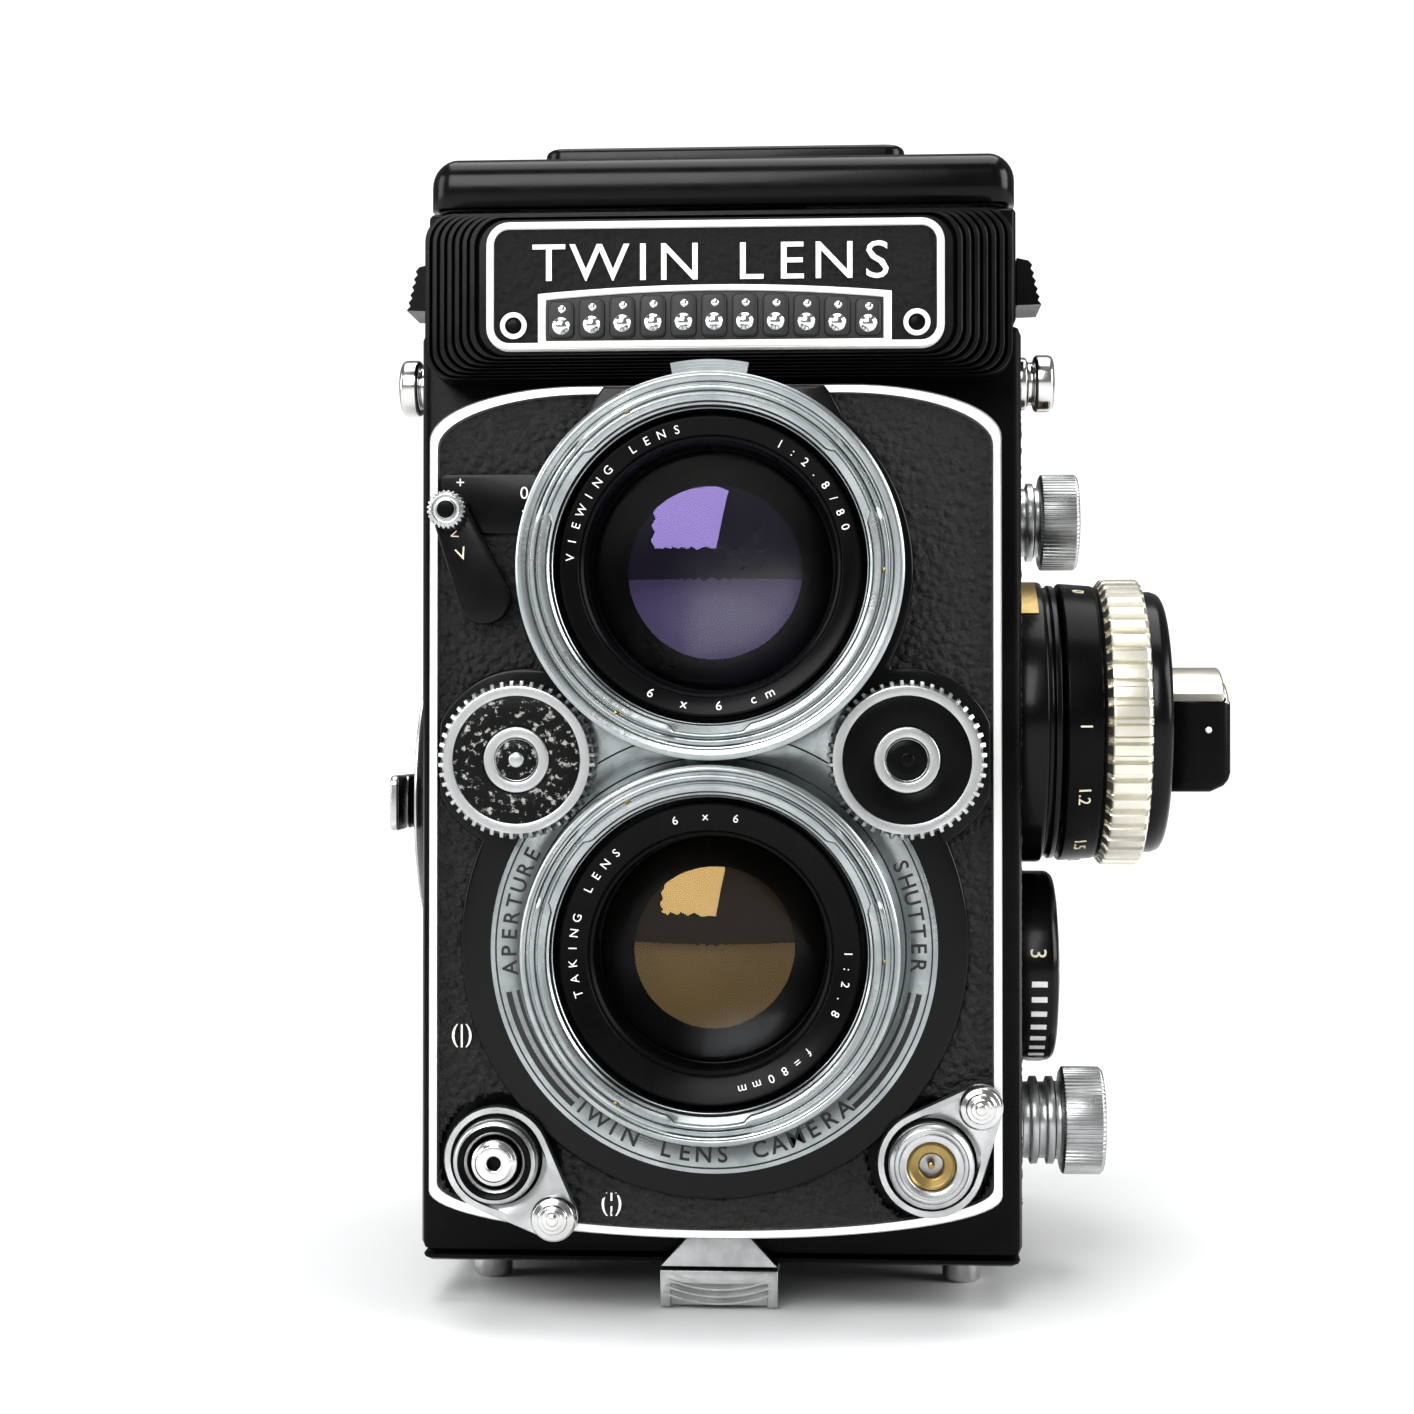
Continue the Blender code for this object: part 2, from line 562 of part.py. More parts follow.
def hood_lid():
    half = HOOD_HALF_WIDTH
    lid = box("hood_lid", (-half, half), (HOOD_FRONT, HOOD_BACK), (HOOD_RIM + 0.6, LID_TOP),
              "black_enamel", bevel=2.2)
    hollow = box("lid_hollow", (-half + 1.6, half - 1.6), (HOOD_FRONT + 1.6, HOOD_BACK - 1.6),
                 (127, LID_TOP - 1.8))
    cut(lid, hollow)
    turn_on(lid, (0, LID_HINGE_Y, LID_HINGE_Z))
    box("finder_plate", (-21.8, 21.8), (-26, 20), (LID_TOP + GAP, FINDER_TOP), "black_enamel", bevel=0.8)
    frame = box("magnifier_frame", (-9.4, 9.4), (-16.5, 11.6), (129.9, 131.1), "chrome")
    cut(frame, drill("magnifier_hole", 7.6, (0, -6.4, 130.5), UP, -2, 2))
    turn_on(frame, (0, 11.6, 130.5))
    glass = [(0, 0.8), (4, 0.6), (7.2, 0.1), (7.2, -0.1), (4, -0.6), (0, -0.8)]
    turned("magnifier_glass", glass, (0, -6.4, 130.5), UP, "glass", 24)


# ---------------------------------------------------------------- back cover

def back_cover():
    half = BODY_HALF_WIDTH
    cover = box("back_cover", (-half, half), (BODY_FRONT, COVER_BACK), (COVER_BOTTOM, COVER_TOP),
                "black_enamel", bevel=1.2)
    inside = box("cover_body_space", (-half - 1, half + 1), (BODY_FRONT - 1, BODY_BACK + GAP),
                 (5.7, COVER_TOP + 1))
    hollow = box("cover_hollow", (-half + 2, half - 2), (BODY_BACK - 1, COVER_BACK - 2),
                 (6.0, COVER_TOP - 2))
    socket_hole = drill("socket_hole", SOCKET_BOSS + GAP, (0, 0, 0), UP, 3, 8, 24)
    cut(cover, inside, hollow, socket_hole)
    turn_on(cover, (0, COVER_HINGE_Y, COVER_TOP))
    plate_y = BODY_BACK + 2 * GAP
    box("pressure_plate", (-30, 30), (plate_y, plate_y + 1.4), (13, 73), "black_metal")
    under = COVER_BOTTOM - GAP
    socket = [(3.2, 5.7), (SOCKET_BOSS, 5.7), (SOCKET_BOSS, under), (10.5, under), (10.5, 1.3), (3.2, 1.3)]
    turned("tripod_socket", socket, (0, 0, 0), UP, "satin", 32)
    for index, (x, y) in enumerate(((-1, -20), (1, -20), (-1, 24), (1, 24))):
        name = ("foot_front_left", "foot_front_right", "foot_rear_left", "foot_rear_right")[index]
        turned(name, [(0, under), (FOOT_RADIUS, under), (FOOT_RADIUS - 0.8, 0), (0, 0)], (x * FOOT_X, y, 0), UP,
               "chrome", 16)
    trapezoid = [(-3.6, 8.6), (-LATCH_HALF, COVER_BOTTOM), (LATCH_HALF, COVER_BOTTOM), (3.6, 8.6)]
    front_plate("catch_plate", trapezoid, BODY_FRONT - GAP, BODY_FRONT - 1.6, "satin")
    latch = box("back_latch", (-LATCH_HALF, LATCH_HALF), (-37.6, -16), (3.1, under), "satin")
    lip = box("latch_lip", (-LATCH_HALF, LATCH_HALF), (-37.6, -36.1), (0.4, 4.0))
    relief = box("latch_relief", (-5.6, 5.6), (-38, -36.8), (0.3, 3.0))
    join(latch, lip)
    cut(latch, relief)
    turn_on(latch, (0, -16, under))


clear_scene()
parts = new_collection("twin_lens_reflex_camera")
cutters = new_collection("cutters")
camera_base = bpy.data.objects.new("camera_base", None)
parts.objects.link(camera_base)
camera_base.location = Vector((-CENTRE_X, -CENTRE_Y, 0)) * MM

body_casting()
film_path()
strap_lugs()
meter_housing()
lens_panel()
bayonet("viewing_bayonet", VIEW_Z, VIEW_MOUNT_RADIUS)
bayonet("taking_bayonet", TAKE_Z, TAKE_MOUNT_RADIUS)
lens_tubes()
wheels()
corner_controls()
timer_lever()
focus_group()
spool_knobs()
crank_group()
hood_base()
hood_flaps()
hood_lid()
back_cover()
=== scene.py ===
"""The finished looks of a twin lens reflex camera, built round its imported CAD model.

Sizes are in millimetres in the camera's own layout: the plane of the lens axes
is X = 0, the front face of the lens mounts is Y = -58 and the ground is Z = 0.
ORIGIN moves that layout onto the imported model.
"""
import json
import math

import bmesh
import bpy
from mathutils import Matrix, Vector, noise

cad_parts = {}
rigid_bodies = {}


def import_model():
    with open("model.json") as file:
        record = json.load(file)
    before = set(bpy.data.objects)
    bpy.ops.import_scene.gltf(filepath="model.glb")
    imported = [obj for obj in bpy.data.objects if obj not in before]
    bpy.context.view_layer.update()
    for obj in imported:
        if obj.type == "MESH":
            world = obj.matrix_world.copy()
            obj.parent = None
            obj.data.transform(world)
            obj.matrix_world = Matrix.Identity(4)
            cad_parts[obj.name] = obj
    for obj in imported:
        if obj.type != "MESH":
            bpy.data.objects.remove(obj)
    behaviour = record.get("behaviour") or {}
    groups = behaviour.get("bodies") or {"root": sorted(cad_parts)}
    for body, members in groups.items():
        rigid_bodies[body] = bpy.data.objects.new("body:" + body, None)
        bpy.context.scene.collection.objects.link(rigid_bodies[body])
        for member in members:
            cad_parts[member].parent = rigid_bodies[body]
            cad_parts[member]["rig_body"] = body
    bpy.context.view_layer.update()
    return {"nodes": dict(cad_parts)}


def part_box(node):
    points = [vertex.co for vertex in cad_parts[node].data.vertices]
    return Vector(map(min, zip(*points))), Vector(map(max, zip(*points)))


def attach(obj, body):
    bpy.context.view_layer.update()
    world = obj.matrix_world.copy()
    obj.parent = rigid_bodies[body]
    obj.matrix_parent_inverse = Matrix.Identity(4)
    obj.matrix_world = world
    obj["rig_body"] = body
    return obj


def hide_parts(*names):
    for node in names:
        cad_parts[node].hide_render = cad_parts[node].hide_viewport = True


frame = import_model()

MM = 0.001
MOUNT_LOW, MOUNT_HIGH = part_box("viewing_bayonet")
ORIGIN = Vector(((MOUNT_LOW[0] + MOUNT_HIGH[0]) / 2, MOUNT_LOW[1] + 58 * MM, 0.0))

VIEW_Z = 84.7
TAKE_Z = 42.7
FACE = -47.4                 # the lens panel's front face
CORNER_X = 24.0
CORNER_Z = 19.3
WHEEL_X = 21.3
WHEEL_Z = 63.7
TIMER = (-25.5, 81.7)
SIDE = 35.0                  # half the body's width
OUTSIDE = SIDE + 0.3         # where the side fittings start
BACK = 37.8                  # the back cover's rear face
BAYONET_TOP = 10.55          # the mounts' height above the panel

# Centres on the body's sides, as (y, z).
KNOB = (-12.0, 68.0)
DIAL = (-12.0, 37.6)
UPPER_SPOOL = (18.5, 95.6)
LOWER_SPOOL = (-14.0, 18.6)
LUG = (-22.0, 109.0)
CRANK = (-5.0, 58.0)

FACINGS = {
    "front": ((1, 0, 0), (0, 0, 1), (0, -1, 0)),
    "back": ((-1, 0, 0), (0, 0, 1), (0, 1, 0)),
    "right": ((0, 1, 0), (0, 0, 1), (1, 0, 0)),
    "left": ((0, -1, 0), (0, 0, 1), (-1, 0, 0)),
    "up": ((1, 0, 0), (0, 1, 0), (0, 0, 1)),
    "down": ((1, 0, 0), (0, -1, 0), (0, 0, -1)),
}


# ---------------------------------------------------------------- materials

def link(tree, source, target):
    tree.links.new(source, target)


def node(tree, kind, **values):
    made = tree.nodes.new(kind)
    for name, value in values.items():
        if name in made.inputs:
            made.inputs[name].default_value = value
        else:
            setattr(made, name, value)
    return made


def place_on(tree):
    """Where a point lies on its own piece, in metres."""
    return node(tree, "ShaderNodeTexCoord").outputs["Object"]


def ramp(tree, source, low, high, dark=0.0, light=1.0):
    """Map source from low..high to dark..light, clamped."""
    made = node(tree, "ShaderNodeMapRange")
    made.inputs["From Min"].default_value = low
    made.inputs["From Max"].default_value = high
    made.inputs["To Min"].default_value = dark
    made.inputs["To Max"].default_value = light
    link(tree, source, made.inputs["Value"])
    return made.outputs["Result"]


def blend_colour(tree, factor, first, second):
    made = node(tree, "ShaderNodeMix", data_type="RGBA")
    link(tree, factor, made.inputs["Factor"])
    for socket, value in ((made.inputs[6], first), (made.inputs[7], second)):
        if isinstance(value, tuple):
            socket.default_value = (*value, 1.0)
        else:
            link(tree, value, socket)
    return made.outputs[2]


def finish(name, colour, second, rough, metallic=0.0, patch=90.0, grain=2600.0, bump=0.05,
           turned=0.0, pebble=0.0, wear_and_sheen=None, coat=0.0, specular=0.5, spread=(0.35, 0.7)):
    """A material with tone and roughness patches, fine grain and optional detail.

    rough is a pair of roughness limits; turned is the strength of concentric tool
    marks about local Z; pebble is the strength of leather cells; the colour given for
    wear and sheen shows on rubbed edges as wear, and on the tops of raised lumps as
    painted highlight specks; spread is the part of the noise over which colour gives
    way to second.
    """
    made = bpy.data.materials.new(name)
    made.use_nodes = True
    tree = made.node_tree
    shader = tree.nodes["Principled BSDF"]
    shader.inputs["Metallic"].default_value = metallic
    shader.inputs["Coat Weight"].default_value = coat
    shader.inputs["Coat Roughness"].default_value = 0.08
    shader.inputs["Specular IOR Level"].default_value = specular
    where = place_on(tree)

    patches = node(tree, "ShaderNodeTexNoise", Scale=patch, Detail=6.0, Roughness=0.62)
    fine = node(tree, "ShaderNodeTexNoise", Scale=grain, Detail=4.0, Roughness=0.6)
    for texture in (patches, fine):
        link(tree, where, texture.inputs["Vector"])
    tone = ramp(tree, patches.outputs["Fac"], *spread)
    paint = blend_colour(tree, tone, colour, second)
    height = fine.outputs["Fac"]
    strength = bump

    if turned:
        rings = node(tree, "ShaderNodeTexWave", wave_type="RINGS", rings_direction="Z",
                     wave_profile="SAW", Scale=950.0, Distortion=1.2, Detail=2.0)
        link(tree, where, rings.inputs["Vector"])
        height = rings.outputs["Fac"]
        strength = turned
    if pebble:
        cells = node(tree, "ShaderNodeTexVoronoi", feature="SMOOTH_F1", Scale=1050.0, Smoothness=0.35)
        wrinkle = node(tree, "ShaderNodeTexNoise", Scale=1500.0, Detail=5.0, Roughness=0.65)
        for texture in (cells, wrinkle):
            link(tree, where, texture.inputs["Vector"])
        lumps = node(tree, "ShaderNodeMath", operation="SUBTRACT")
        link(tree, wrinkle.outputs["Fac"], lumps.inputs[0])
        link(tree, cells.outputs["Distance"], lumps.inputs[1])
        height = lumps.outputs["Value"]
        strength = pebble

    relief = node(tree, "ShaderNodeBump", Strength=strength, Distance=0.0004)
    link(tree, height, relief.inputs["Height"])
    link(tree, relief.outputs["Normal"], shader.inputs["Normal"])

    # Pointiness picks out convex edges and the tops of raised lumps; the colour laid there is rubbed wear on
    # the edges and painted highlight specks on the lumps.
    if wear_and_sheen:
        edge = node(tree, "ShaderNodeNewGeometry").outputs["Pointiness"]
        rubbed_edge_and_lump_sheen = node(tree, "ShaderNodeMath", operation="MULTIPLY")
        link(tree, ramp(tree, edge, 0.53, 0.6), rubbed_edge_and_lump_sheen.inputs[0])
        link(tree, ramp(tree, patches.outputs["Fac"], 0.48, 0.62), rubbed_edge_and_lump_sheen.inputs[1])
        paint = blend_colour(tree, rubbed_edge_and_lump_sheen.outputs["Value"], paint, wear_and_sheen)
    link(tree, paint, shader.inputs["Base Color"])
    link(tree, ramp(tree, patches.outputs["Fac"], 0.3, 0.7, *rough), shader.inputs["Roughness"])
    return made


def glass(name, tint, ior=1.75):
    """Coated optical glass, whose coating colours what it reflects."""
    made = bpy.data.materials.new(name)
    made.use_nodes = True
    tree = made.node_tree
    shader = tree.nodes["Principled BSDF"]
    shader.inputs["Transmission Weight"].default_value = 1.0
    shader.inputs["IOR"].default_value = ior
    shader.inputs["Specular Tint"].default_value = (*tint, 1.0)
    shader.inputs["Roughness"].default_value = 0.0
    dust = node(tree, "ShaderNodeTexNoise", Scale=700.0, Detail=5.0)
    link(tree, place_on(tree), dust.inputs["Vector"])
    film = ramp(tree, dust.outputs["Fac"], 0.3, 0.9)
    tone = blend_colour(tree, film, (0.96, 0.96, 0.96), (0.82, 0.82, 0.82))
    link(tree, tone, shader.inputs["Base Color"])
    return made


def coated_dish(name, tint):
    """A dark inner element that throws back a coloured picture of the lights."""
    made = finish(name, (0.002, 0.002, 0.002), (0.004, 0.004, 0.004), (0.04, 0.08), bump=0.0)
    shader = made.node_tree.nodes["Principled BSDF"]
    shader.inputs["IOR"].default_value = 1.6
    shader.inputs["Specular Tint"].default_value = (*tint, 1.0)
    return made


ENAMEL = finish("gloss_enamel", (0.003, 0.003, 0.0035), (0.005, 0.005, 0.0055), (0.16, 0.3), bump=0.02,
                specular=0.2, coat=0.06)
SATIN_BLACK = finish("satin_black", (0.003, 0.003, 0.0035), (0.006, 0.006, 0.006), (0.22, 0.34), bump=0.05,
                     specular=0.1)
BLACK_RING = finish("black_turned", (0.003, 0.003, 0.0035), (0.006, 0.006, 0.0065), (0.2, 0.32),
                    turned=0.05, specular=0.1)
WORN_RING = finish("worn_black_ring", (0.005, 0.005, 0.005), (0.34, 0.34, 0.32), (0.3, 0.5), patch=1200.0,
                   bump=0.1, specular=0.15, spread=(0.56, 0.62))
# The brown laid on the leather's edges and lump tops is partly rubbed wear and partly painted highlight
# specks.
LEATHER = finish("pebbled_leather", (0.003, 0.003, 0.003), (0.006, 0.0055, 0.005), (0.2, 0.38),
                 pebble=1.0, wear_and_sheen=(0.05, 0.04, 0.03), specular=0.36)
CRACKLE = finish("crackle_black", (0.004, 0.004, 0.004), (0.008, 0.008, 0.008), (0.3, 0.5), pebble=0.8,
                 specular=0.2)
CHROME = finish("bright_chrome", (0.66, 0.66, 0.65), (0.54, 0.54, 0.53), (0.12, 0.26), metallic=1.0,
                bump=0.004)
SILVER_TRIM = finish("silver_trim", (0.86, 0.86, 0.85), (0.7, 0.7, 0.69), (0.3, 0.46), metallic=1.0,
                     bump=0.03)
WARM_METAL = finish("worn_nickel", (0.78, 0.76, 0.68), (0.58, 0.56, 0.48), (0.26, 0.42), metallic=1.0,
                    bump=0.03)
SATIN = finish("satin_chrome", (0.54, 0.55, 0.55), (0.38, 0.39, 0.39), (0.24, 0.4), metallic=1.0,
               bump=0.03, patch=240.0)
TURNED = finish("turned_chrome", (0.42, 0.445, 0.45), (0.27, 0.295, 0.3), (0.22, 0.38), metallic=1.0,
                turned=0.22, patch=170.0)
BRASS = finish("old_brass", (0.42, 0.31, 0.13), (0.12, 0.085, 0.035), (0.25, 0.5), metallic=1.0, bump=0.06)
WHITE = finish("white_fill", (0.86, 0.86, 0.84), (0.74, 0.74, 0.71), (0.3, 0.5), bump=0.03)
CREAM = finish("cream_fill", (0.85, 0.78, 0.6), (0.7, 0.62, 0.46), (0.35, 0.5), bump=0.03)
BLACK_FILL = finish("black_fill", (0.01, 0.01, 0.01), (0.02, 0.02, 0.02), (0.4, 0.6), bump=0.03)
CELL = finish("meter_cell", (0.78, 0.78, 0.78), (0.6, 0.6, 0.62), (0.08, 0.16), metallic=1.0, patch=500.0,
              bump=0.002)
MIRROR = finish("silvered", (0.9, 0.9, 0.9), (0.85, 0.85, 0.86), (0.02, 0.05), metallic=1.0, bump=0.0)
SCREEN = finish("ground_glass", (0.55, 0.56, 0.55), (0.45, 0.46, 0.46), (0.35, 0.5), bump=0.12)
VIOLET_GLASS = glass("violet_coated_glass", (0.55, 0.42, 1.0))
AMBER_GLASS = glass("amber_coated_glass", (1.0, 0.68, 0.28))
CLEAR_GLASS = glass("clear_glass", (1.0, 1.0, 1.0), ior=1.5)
VIOLET_DISH = coated_dish("violet_dish", (0.5, 0.36, 1.0))
AMBER_DISH = coated_dish("amber_dish", (1.0, 0.62, 0.16))


# ---------------------------------------------------------------- piece makers

def frame_at(centre, facing):
    """The matrix of a local frame at a place in the camera's layout."""
    across, up, out = (Vector(axis) for axis in FACINGS[facing])
    turn = Matrix((across, up, out)).transposed().to_4x4()
    return Matrix.Translation(Vector(centre) * MM + ORIGIN) @ turn


def add(name, mesh, paint, body, centre=(0, 0, 0), facing="front", stands_for=(), angle=35.0):
    """Put a mesh (in local metres) in place and hand it to a body of the frame."""
    mesh.materials.clear()
    mesh.materials.append(paint)
    mesh.shade_smooth()
    mesh.set_sharp_from_angle(angle=math.radians(angle))
    thing = bpy.data.objects.new(name, mesh)
    bpy.context.scene.collection.objects.link(thing)
    thing.matrix_world = frame_at(centre, facing)
    bpy.context.view_layer.update()
    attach(thing, body)
    if stands_for:
        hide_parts(*stands_for)
    return thing


def mesh_from(name, points, faces):
    mesh = bpy.data.meshes.new(name)
    mesh.from_pydata([Vector(p) * MM for p in points], [], faces)
    shape = bmesh.new()
    shape.from_mesh(mesh)
    bmesh.ops.recalc_face_normals(shape, faces=shape.faces)
    shape.to_mesh(mesh)
    shape.free()
    return mesh


def soften(profile, radius, closed):
    """Round every corner of a profile with a short three-point curve."""
    count = len(profile)
    result = []
    for i, (r, h) in enumerate(profile):
        if not closed and i in (0, count - 1):
            result.append((r, h))
            continue
        here = Vector((r, h))
        before = Vector(profile[i - 1]) - here
        after = Vector(profile[(i + 1) % count]) - here
        reach = min(radius, before.length * 0.4, after.length * 0.4)
        first = here + before.normalized() * reach
        last = here + after.normalized() * reach
        for t in (0.0, 0.5, 1.0):
            spot = first * (1 - t) ** 2 + here * 2 * t * (1 - t) + last * t ** 2
            result.append((spot.x, spot.y))
    return result


def lathe(name, profile, paint, body, centre, facing="front", stands_for=(), steps=128,
          corner=0.12, shape=None):
    """Turn (radius, height) points about the facing axis.

    shape(radius, height, angle) may return another radius and height, for
    knurling and notches.
    """
    solid = profile[0][0] == 0 and profile[-1][0] == 0
    line = soften(profile, corner, not solid)
    points = []
    faces = []
    count = len(line)
    for i in range(steps):
        turn = 2 * math.pi * i / steps
        for r, h in line:
            if shape and r > 0:
                r, h = shape(r, h, turn)
            points.append((r * math.cos(turn), r * math.sin(turn), h))
    for i in range(steps):
        here = i * count
        there = (i + 1) % steps * count
        for j in range(count if not solid else count - 1):
            k = (j + 1) % count
            faces.append((here + j, here + k, there + k, there + j))
    mesh = mesh_from(name, points, faces)
    weld = bmesh.new()
    weld.from_mesh(mesh)
    bmesh.ops.remove_doubles(weld, verts=weld.verts, dist=0.0000005)
    bmesh.ops.recalc_face_normals(weld, faces=weld.faces)
    weld.to_mesh(mesh)
    weld.free()
    return add(name, mesh, paint, body, centre, facing, stands_for)


def loft(name, loops, paint, body, centre=(0, 0, 0), facing="front", stands_for=(), closed=False,
         angle=35.0):
    """Skin loops of equally many (x, y, z) points; closed joins the last to the first."""
    size = len(loops[0])
    points = [point for loop in loops for point in loop]
    faces = []
    for i in range(len(loops) if closed else len(loops) - 1):
        here = i * size
        there = (i + 1) % len(loops) * size
        for j in range(size):
            k = (j + 1) % size
            faces.append((here + j, here + k, there + k, there + j))
    if not closed:
        faces.append(tuple(range(size)))
        faces.append(tuple(range(len(points) - size, len(points))))
    return add(name, mesh_from(name, points, faces), paint, body, centre, facing, stands_for, angle)


def slab(name, outline, low, high, paint, body, centre=(0, 0, 0), facing="front", stands_for=(),
         edge=0.3, angle=35.0):
    """A plate with rounded edges; outline(inset) gives its points."""
    turns = [math.radians(a) for a in (0, 22.5, 45, 67.5, 90)]
    low_rim = [(edge * (1 - math.sin(a)), low + edge * (1 - math.cos(a))) for a in turns]
    high_rim = [(edge * (1 - math.cos(a)), high - edge * (1 - math.sin(a))) for a in turns]
    loops = [[(x, y, height) for x, y in outline(inset)] for inset, height in low_rim + high_rim]
    return loft(name, loops, paint, body, centre, facing, stands_for, angle=angle)


def strip(name, outer, inner, low, high, paint, body, slot, centre=(0, 0, 0), facing="front",
          stands_for=()):
    """A flat frame between two outlines with the same number of points."""
    lift = (high - low) * 0.3
    section = ((outer, low), (outer, high - lift), (0.15, high), (0.85, high), (inner, high - lift),
               (inner, low))
    loops = []
    for where, height in section:
        if isinstance(where, float):
            loops.append([(a[0] + (b[0] - a[0]) * where, a[1] + (b[1] - a[1]) * where, height)
                          for a, b in zip(outer, inner)])
        else:
            loops.append([(x, y, height) for x, y in where])
    return loft(name, loops, paint, body, centre, facing, stands_for, closed=True)


def arc(centre, radius, start, end, count):
    angles = [math.radians(start + (end - start) * i / count) for i in range(count + 1)]
    return [(centre[0] + radius * math.cos(a), centre[1] + radius * math.sin(a)) for a in angles]


def band(name, centre, radii, sweep, heights, paint, body, at, facing="front"):
    """Part of a flat ring: radii is (inner, outer) and sweep is (start, end, steps)."""
    inner, outer = radii
    start, end, count = sweep
    outline = arc(centre, outer, start, end, count) + arc(centre, inner, end, start, count)
    return loft(name, [[(x, y, h) for x, y in outline] for h in heights], paint, body, at, facing)


def rounded(half_x, low, high, radius, inset=0.0, count=8):
    """A rectangle with round corners, symmetric about x = 0."""
    a = half_x - inset
    b = low + inset
    c = high - inset
    r = max(radius - inset, 0.05)
    return (arc((a - r, c - r), r, 0, 90, count) + arc((r - a, c - r), r, 90, 180, count)
            + arc((r - a, b + r), r, 180, 270, count) + arc((a - r, b + r), r, 270, 360, count))


def round_plate(half_x, low, high, radius):
    return lambda inset: rounded(half_x, low, high, radius, inset)


def teardrop(start, start_radius, end, end_radius, inset=0.0, count=20):
    run = Vector(end) - Vector(start)
    heading = math.degrees(math.atan2(run.y, run.x))
    lean = math.degrees(math.asin((start_radius - end_radius) / run.length))
    return (arc(start, start_radius - inset, heading + 90 - lean, heading + 270 + lean, count)
            + arc(end, end_radius - inset, heading - 90 + lean, heading + 90 - lean, count))


def glyphs(name, letters, paint, body, centre, facing, height=0.06, bold=0.0):
    """Raised lettering: letters is a list of (text, size, matrix in millimetres).

    bold is how far each stroke is widened on either side.
    """
    shape = bmesh.new()
    for text, size, place in letters:
        curve = bpy.data.curves.new(name, "FONT")
        curve.body = text
        curve.size = size
        curve.extrude = height / 2
        curve.offset = bold
        curve.resolution_u = 3
        curve.align_x = "CENTER"
        curve.align_y = "CENTER"
        guide = bpy.data.objects.new(name, curve)
        bpy.context.scene.collection.objects.link(guide)
        bpy.context.view_layer.update()
        evaluated = guide.evaluated_get(bpy.context.evaluated_depsgraph_get())
        letter = bpy.data.meshes.new_from_object(evaluated)
        bpy.data.objects.remove(guide, do_unlink=True)
        letter.transform(Matrix.Scale(MM, 4) @ place)
        shape.from_mesh(letter)
    mesh = bpy.data.meshes.new(name)
    bmesh.ops.remove_doubles(shape, verts=shape.verts, dist=0.000001)
    shape.to_mesh(mesh)
    shape.free()
    return add(name, mesh, paint, body, centre, facing)


def around(text, size, radius, height, middle, step, inward=True, slope=0.0):
    """Letters set round a circle; middle is the angle of the text's centre in degrees.

    With inward the feet of the letters point at the centre, so that the text
    reads from outside the circle's top; slope tips them like a cone's face.
    """
    letters = []
    spin = -math.pi / 2 if inward else math.pi / 2
    for i, letter in enumerate(text):
        offset = (i - (len(text) - 1) / 2) * step
        angle = math.radians(middle - offset if inward else middle + offset)
        if letter == " ":
            continue
        place = (Matrix.Rotation(angle, 4, "Z") @ Matrix.Translation((radius, 0, height))
                 @ Matrix.Rotation(slope, 4, "Y") @ Matrix.Rotation(spin, 4, "Z"))
        letters.append((letter, size, place))
    return letters


def refine(node_name, paint, width=0.25, segments=2, angle=40.0):
    """A copy of a CAD node with its edges rounded, standing for that node."""
    source = frame["nodes"][node_name]
    mesh = source.data.copy()
    shape = bmesh.new()
    shape.from_mesh(mesh)
    bmesh.ops.remove_doubles(shape, verts=shape.verts, dist=0.000002)
    bmesh.ops.dissolve_limit(shape, angle_limit=math.radians(1.0), verts=shape.verts, edges=shape.edges)
    sharp = [e for e in shape.edges if len(e.link_faces) == 2 and e.calc_face_angle() > math.radians(angle)]
    bmesh.ops.bevel(shape, geom=sharp, offset=width * MM, segments=segments, affect="EDGES",
                    clamp_overlap=True, profile=0.5)
    shape.to_mesh(mesh)
    shape.free()
    mesh.materials.clear()
    mesh.materials.append(paint)
    mesh.shade_smooth()
    mesh.set_sharp_from_angle(angle=math.radians(40))
    thing = bpy.data.objects.new(node_name + "_finished", mesh)
    bpy.context.scene.collection.objects.link(thing)
    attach(thing, source["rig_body"])
    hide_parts(node_name)
    return thing


def repaint(node_name, paint):
    """Give a CAD node whose shape is right a better material."""
    for slot in frame["nodes"][node_name].material_slots:
        slot.material = paint


# ---------------------------------------------------------------- lens panel

def panel_outline(inset=0.0):
    """Straight sides, a shallow arc below, and shoulders that curve in above."""
    half = 32.0 - inset
    low = 10.4 + inset
    high = 105.5 - inset
    below = [(half * math.sin(math.radians(a)), low + 5 * (1 - math.cos(math.radians(a))))
             for a in range(-90, 91, 5)]
    shoulder = [(half - 17 + 17 * math.cos(math.radians(a)), high - 6 + 6 * math.sin(math.radians(a)))
                for a in range(0, 91, 5)]
    return below + shoulder + [(-x, z) for x, z in reversed(shoulder)]


def union_outline(circles, inset, half_x, high, middle=(0.0, 63.7), count=240):
    """The outline of overlapping circles, seen from a point inside them."""
    points = []
    for i in range(count):
        angle = 2 * math.pi * i / count
        ray = Vector((math.cos(angle), math.sin(angle)))
        reach = 0.0
        for x, z, radius in circles:
            to_centre = Vector((x - middle[0], z - middle[1]))
            along = ray.dot(to_centre)
            square = (radius - inset) ** 2 - (to_centre.length_squared - along ** 2)
            if square > 0:
                reach = max(reach, along + math.sqrt(square))
        x = max(-half_x + inset, min(half_x - inset, middle[0] + ray.x * reach))
        points.append((x, min(high - inset, middle[1] + ray.y * reach)))
    return points


def inside(x, z, outline):
    """True if a point lies inside a closed outline."""
    within = False
    for (x0, z0), (x1, z1) in zip(outline, outline[1:] + outline[:1]):
        if (z0 > z) != (z1 > z) and x < (x1 - x0) * (z - z0) / (z1 - z0) + x0:
            within = not within
    return within


